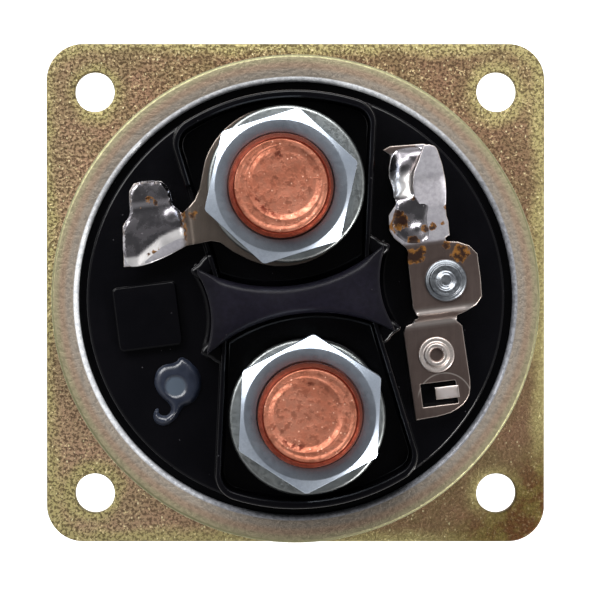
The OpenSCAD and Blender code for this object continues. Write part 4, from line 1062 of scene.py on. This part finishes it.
drop = np.array([
    (-14.03, -5.0), (-13.08, -5.79), (-12.26, -6.85), (-12.05, -8.22), (-12.38, -9.32),
    (-13.09, -10.38), (-14.09, -10.74), (-14.69, -10.98), (-15.17, -11.69), (-15.93, -12.42),
    (-16.95, -12.88), (-17.86, -12.58), (-18.33, -11.83), (-18.12, -11.09), (-17.72, -10.64),
    (-17.47, -10.79), (-17.59, -11.19), (-17.22, -11.58), (-16.66, -11.66), (-16.16, -11.34),
    (-16.01, -10.78), (-16.31, -10.17), (-17.0, -9.51), (-17.47, -8.68), (-17.69, -7.69),
    (-17.42, -6.77), (-16.95, -6.06), (-16.13, -5.69), (-15.17, -5.68), (-14.68, -5.55),
    (-14.38, -5.2)
])


def drop_height(x, y, d):
    """A flat-topped drop, with a shallow disc pressed into it."""
    pressed = 0.16 * blot(x, y, -15.2, -8.4, 1.25, 0.22)
    return 0.62 * rolled(d, 0.9) - pressed + ripples(x, y, 2, 0.02)


verts, faces, _ = mound(softened(drop), level(FLOOR), drop_height, 0.2)
u, v = verts[:, 0], verts[:, 1]
stem = revolve([(0, 47.5), (1.25, 47.5), (1.25, FLOOR), (0, FLOOR)], 32, (-15.3, -8.1))
pale = np.concatenate((blot(u, v, -15.2, -8.4, 1.15, 0.35), np.zeros(len(stem[0]))))
verts, faces = joined((verts, faces), stem)
piece("resin", on_cap(verts), faces, f, "sealant_plug",
      values={"pale": pale})


# Springs.
# Each spring is one round wire on a helix with closed ends, running the length between its seats.

f = spring_wire = Finish("spring_wire", 1.0, 0.3)
fine = f.patch(1600)
f.use(f.mix(fine, (190, 190, 192), (150, 148, 148)), f.span(fine, 0.22, 0.38),
      (fine, 0.01))


def spring(name, outer, wire, turns, low, high, node, body):
    """A helix of mean radius (outer - wire) / 2, swept by a circle of the wire's radius."""
    steps, sides = int(turns * 28), 12
    turn = np.linspace(0, turns, steps + 1)
    first, last = low + wire / 2 + 0.05, high - wire / 2 - 0.05
    closed = wire + 0.1
    z = np.interp(turn, (0, 1, turns - 1, turns), (first, first + closed, last - closed, last))
    section = circle(((outer - wire) / 2, 0), wire / 2, sides)
    verts = around(section[:, 0], 2 * math.pi * turn[:, None], (0, 0), z[:, None] + section[:, 1])
    verts = verts.reshape(-1, 3)
    faces = grid_faces(steps + 1, sides, True, flip=True)
    faces += [list(range(sides)), list(range(steps * sides + sides - 1, steps * sides - 1, -1))]
    made = piece(name, verts, faces, spring_wire, node, body)
    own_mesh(made)


spring("coil_return", 10, 1.1, 7, 4.7, 26.0, "return_spring", "housing")
spring("coil_contact", 10, 1.0, 4, 31.35, 39.35, "contact_spring", "rod")
spring("coil_rod", 5.8, 0.5, 4, 43.75, 49.8, "rod_return_spring", "housing")


# Inner parts.
# These keep the shape of the solids: turned iron and brass, the moulded bobbin with its two
# windings and paper wrap, the leads in their sleeving, the gasket and the contact's small parts.

def darker(colour, share):
    """Linear colour with a share of a screen colour's light."""
    return [share * c for c in tone(*colour)[:3]] + [1.0]


def dress(finish, *names):
    """Gives CAD nodes a finish in place of their plain one."""
    for name in names:
        for slot in nodes[name].material_slots:
            slot.material = finish.material


# Two colours in patches, with uneven gloss and a grain of a depth in mm.
for name, first, second, metallic, roughness, scale, depth, stretch, dressed in (
    ("turned_iron", (168, 168, 170), (146, 145, 148), 1.0, 0.34, 500, 0.008, (1, 1, 6),
     ("plunger", "fixed_core", "core_plate")),
    ("guide_brass", (212, 184, 116), (190, 160, 96), 1.0, 0.28, 400, 0.006, (1, 1, 5),
     ("guide_tube",)),
    ("rod_steel", (186, 186, 190), (160, 160, 164), 1.0, 0.26, 500, 0.006, None,
     ("contact_rod", "rod_seat_washer", "rod_clip")),
    ("disc_copper", (214, 142, 112), (190, 116, 88), 1.0, 0.32, 400, 0.01, None, ("contact_disc",)),
    ("nylon", (206, 200, 184), (196, 188, 170), 0.0, 0.42, 300, 0.006, None,
     ("bobbin", "disc_bush")),
    ("fibre", (120, 66, 50), (104, 54, 42), 0.0, 0.6, 700, 0.02, None, ("disc_insulator",)),
    ("coil_paper", (176, 150, 108), (160, 134, 94), 0.0, 0.7, 500, 0.02, None, ("coil_wrap",)),
    ("gasket_rubber", (34, 34, 36), (26, 26, 28), 0.0, 0.62, 600, 0.015, None, ("cap_gasket",)),
    ("sleeving", (150, 118, 62), (132, 100, 50), 0.0, 0.5, 900, 0.02, None, ("lead_sleeves",)),
    ("lead_copper", (190, 98, 60), (166, 80, 48), 1.0, 0.3, 700, 0.006, None,
     ("motor_lead", "signal_leads", "ground_lead")),
):
    f = Finish(name, metallic, roughness)
    broad, fine = f.patch(scale, stretch=stretch), f.patch(scale * 7, stretch=stretch)
    colour = f.mix(f.times(fine, 0.4), f.mix(broad, first, second), darker(second, 0.6))
    f.use(colour, f.span(fine, roughness - 0.06, roughness + 0.08), (fine, depth))
    dress(f, *dressed)

# Enamelled wire laid in turns: bands along Z as wide as the wire, in mm, whose darker half is painted
# shade in the groove between turns.
for name, first, second, wire, winding in (
    ("thick_winding", (196, 98, 52), (172, 80, 42), 1.0, "pull_in_winding"),
    ("thin_winding", (184, 88, 48), (160, 72, 40), 0.5, "hold_in_winding"),
):
    f = Finish(name, 0.85, 0.3, Coat_Weight=0.5)
    bands = f.add("TexWave", {"Vector": f.place, "Scale": 314.16 / wire}, bands_direction="Z",
                  wave_profile="SIN").outputs["Fac"]
    broad = f.patch(250)
    # Darker half of each band: painted shade between the turns.
    colour = f.mix(bands, darker(first, 0.3), f.mix(broad, first, second))
    f.use(colour, f.span(broad, 0.24, 0.36), (bands, 0.2 * wire))
    dress(f, winding)


# Floor, light and camera.
# A white floor that glows a little, a dome that is dark overhead and bright round its shoulder,
# three soft boxes, and a long lens straight above, as in the photograph. Sizes are in metres.

f = Finish("floor_white", 0.0, 0.7, Emission_Strength=0.9)
f.feed("Base Color", f.mix(f.patch(3, 0.4, 0.6), (226, 226, 226), (232, 232, 232)))
seen = f.add("LightPath").outputs["Is Camera Ray"]
f.feed("Emission Color", f.mix(seen, (0, 0, 0), (255, 255, 255)))
under = f.add("MixShader", {0: f.add("NewGeometry").outputs["Backfacing"], 1: f.shader.outputs[0],
                            2: f.add("BsdfTransparent").outputs[0]})
f.tree.links.new(under.outputs[0], f.tree.nodes["Material Output"].inputs["Surface"])

FLOOR_HALF, FLOOR_Z = 2.0, -0.0242
floor_mesh = bpy.data.meshes.new("floor")
floor_mesh.from_pydata([(sx * FLOOR_HALF, sy * FLOOR_HALF, FLOOR_Z)
                        for sx, sy in ((-1, -1), (1, -1), (1, 1), (-1, 1))], [], [(0, 1, 2, 3)])
floor_mesh.materials.append(f.material)
floor = bpy.data.objects.new("floor", floor_mesh)
bpy.context.scene.collection.objects.link(floor)

dome = bpy.data.worlds.new("dome")
bpy.context.scene.world = dome
dome.use_nodes = True
tree = dome.node_tree
direction = add(tree, "TexCoord").outputs["Generated"]
up = add(tree, "SeparateXYZ", {"Vector": direction}).outputs["Z"]
shade = add(tree, "ValToRGB", {"Fac": up})
ramp_stops = shade.color_ramp.elements
for position, grey in ((0.0, 0.4), (0.3, 0.7), (0.55, 1.0), (0.78, 0.6), (0.9, 0.22), (0.97, 0.13)):
    stop = ramp_stops.new(position)
    stop.color = (grey, grey, 1.02 * grey, 1)
ramp_stops.remove(ramp_stops[0])
ramp_stops[-1].color = (0.11, 0.11, 0.118, 1)
back = tree.nodes["Background"]
tree.links.new(shade.outputs["Color"], back.inputs["Color"])
back.inputs["Strength"].default_value = 0.55

AIM = Vector((0, 0, 0.04))
for name, at, size, power, colour in (
    ("box_left", (-0.5, 0.5, 0.6), 0.6, 8.5, (1, 1, 1)),
    ("box_right", (0.55, -0.45, 0.5), 0.22, 5.2, (1, 0.98, 0.96)),
    ("box_far", (0.15, 0.75, 0.7), 0.6, 8.0, (1, 1, 1)),
):
    lamp = bpy.data.lights.new(name, "AREA")
    lamp.size, lamp.energy, lamp.color = size, power, colour
    box = bpy.data.objects.new(name, lamp)
    box.location = at
    box.rotation_euler = (AIM - Vector(at)).to_track_quat("-Z", "Y").to_euler()
    bpy.context.scene.collection.objects.link(box)

lens = bpy.data.cameras.new("camera")
lens.lens, lens.sensor_width, lens.clip_start, lens.clip_end = 304.7, 36.0, 0.05, 20
camera = bpy.data.objects.new("camera", lens)
camera.location = (0, 0.0092, 0.636)
camera.rotation_euler = (-math.atan2(0.00954, 0.633), 0, 0)
bpy.context.scene.collection.objects.link(camera)
bpy.context.scene.camera = camera
bpy.context.scene.view_settings.view_transform = "Standard"
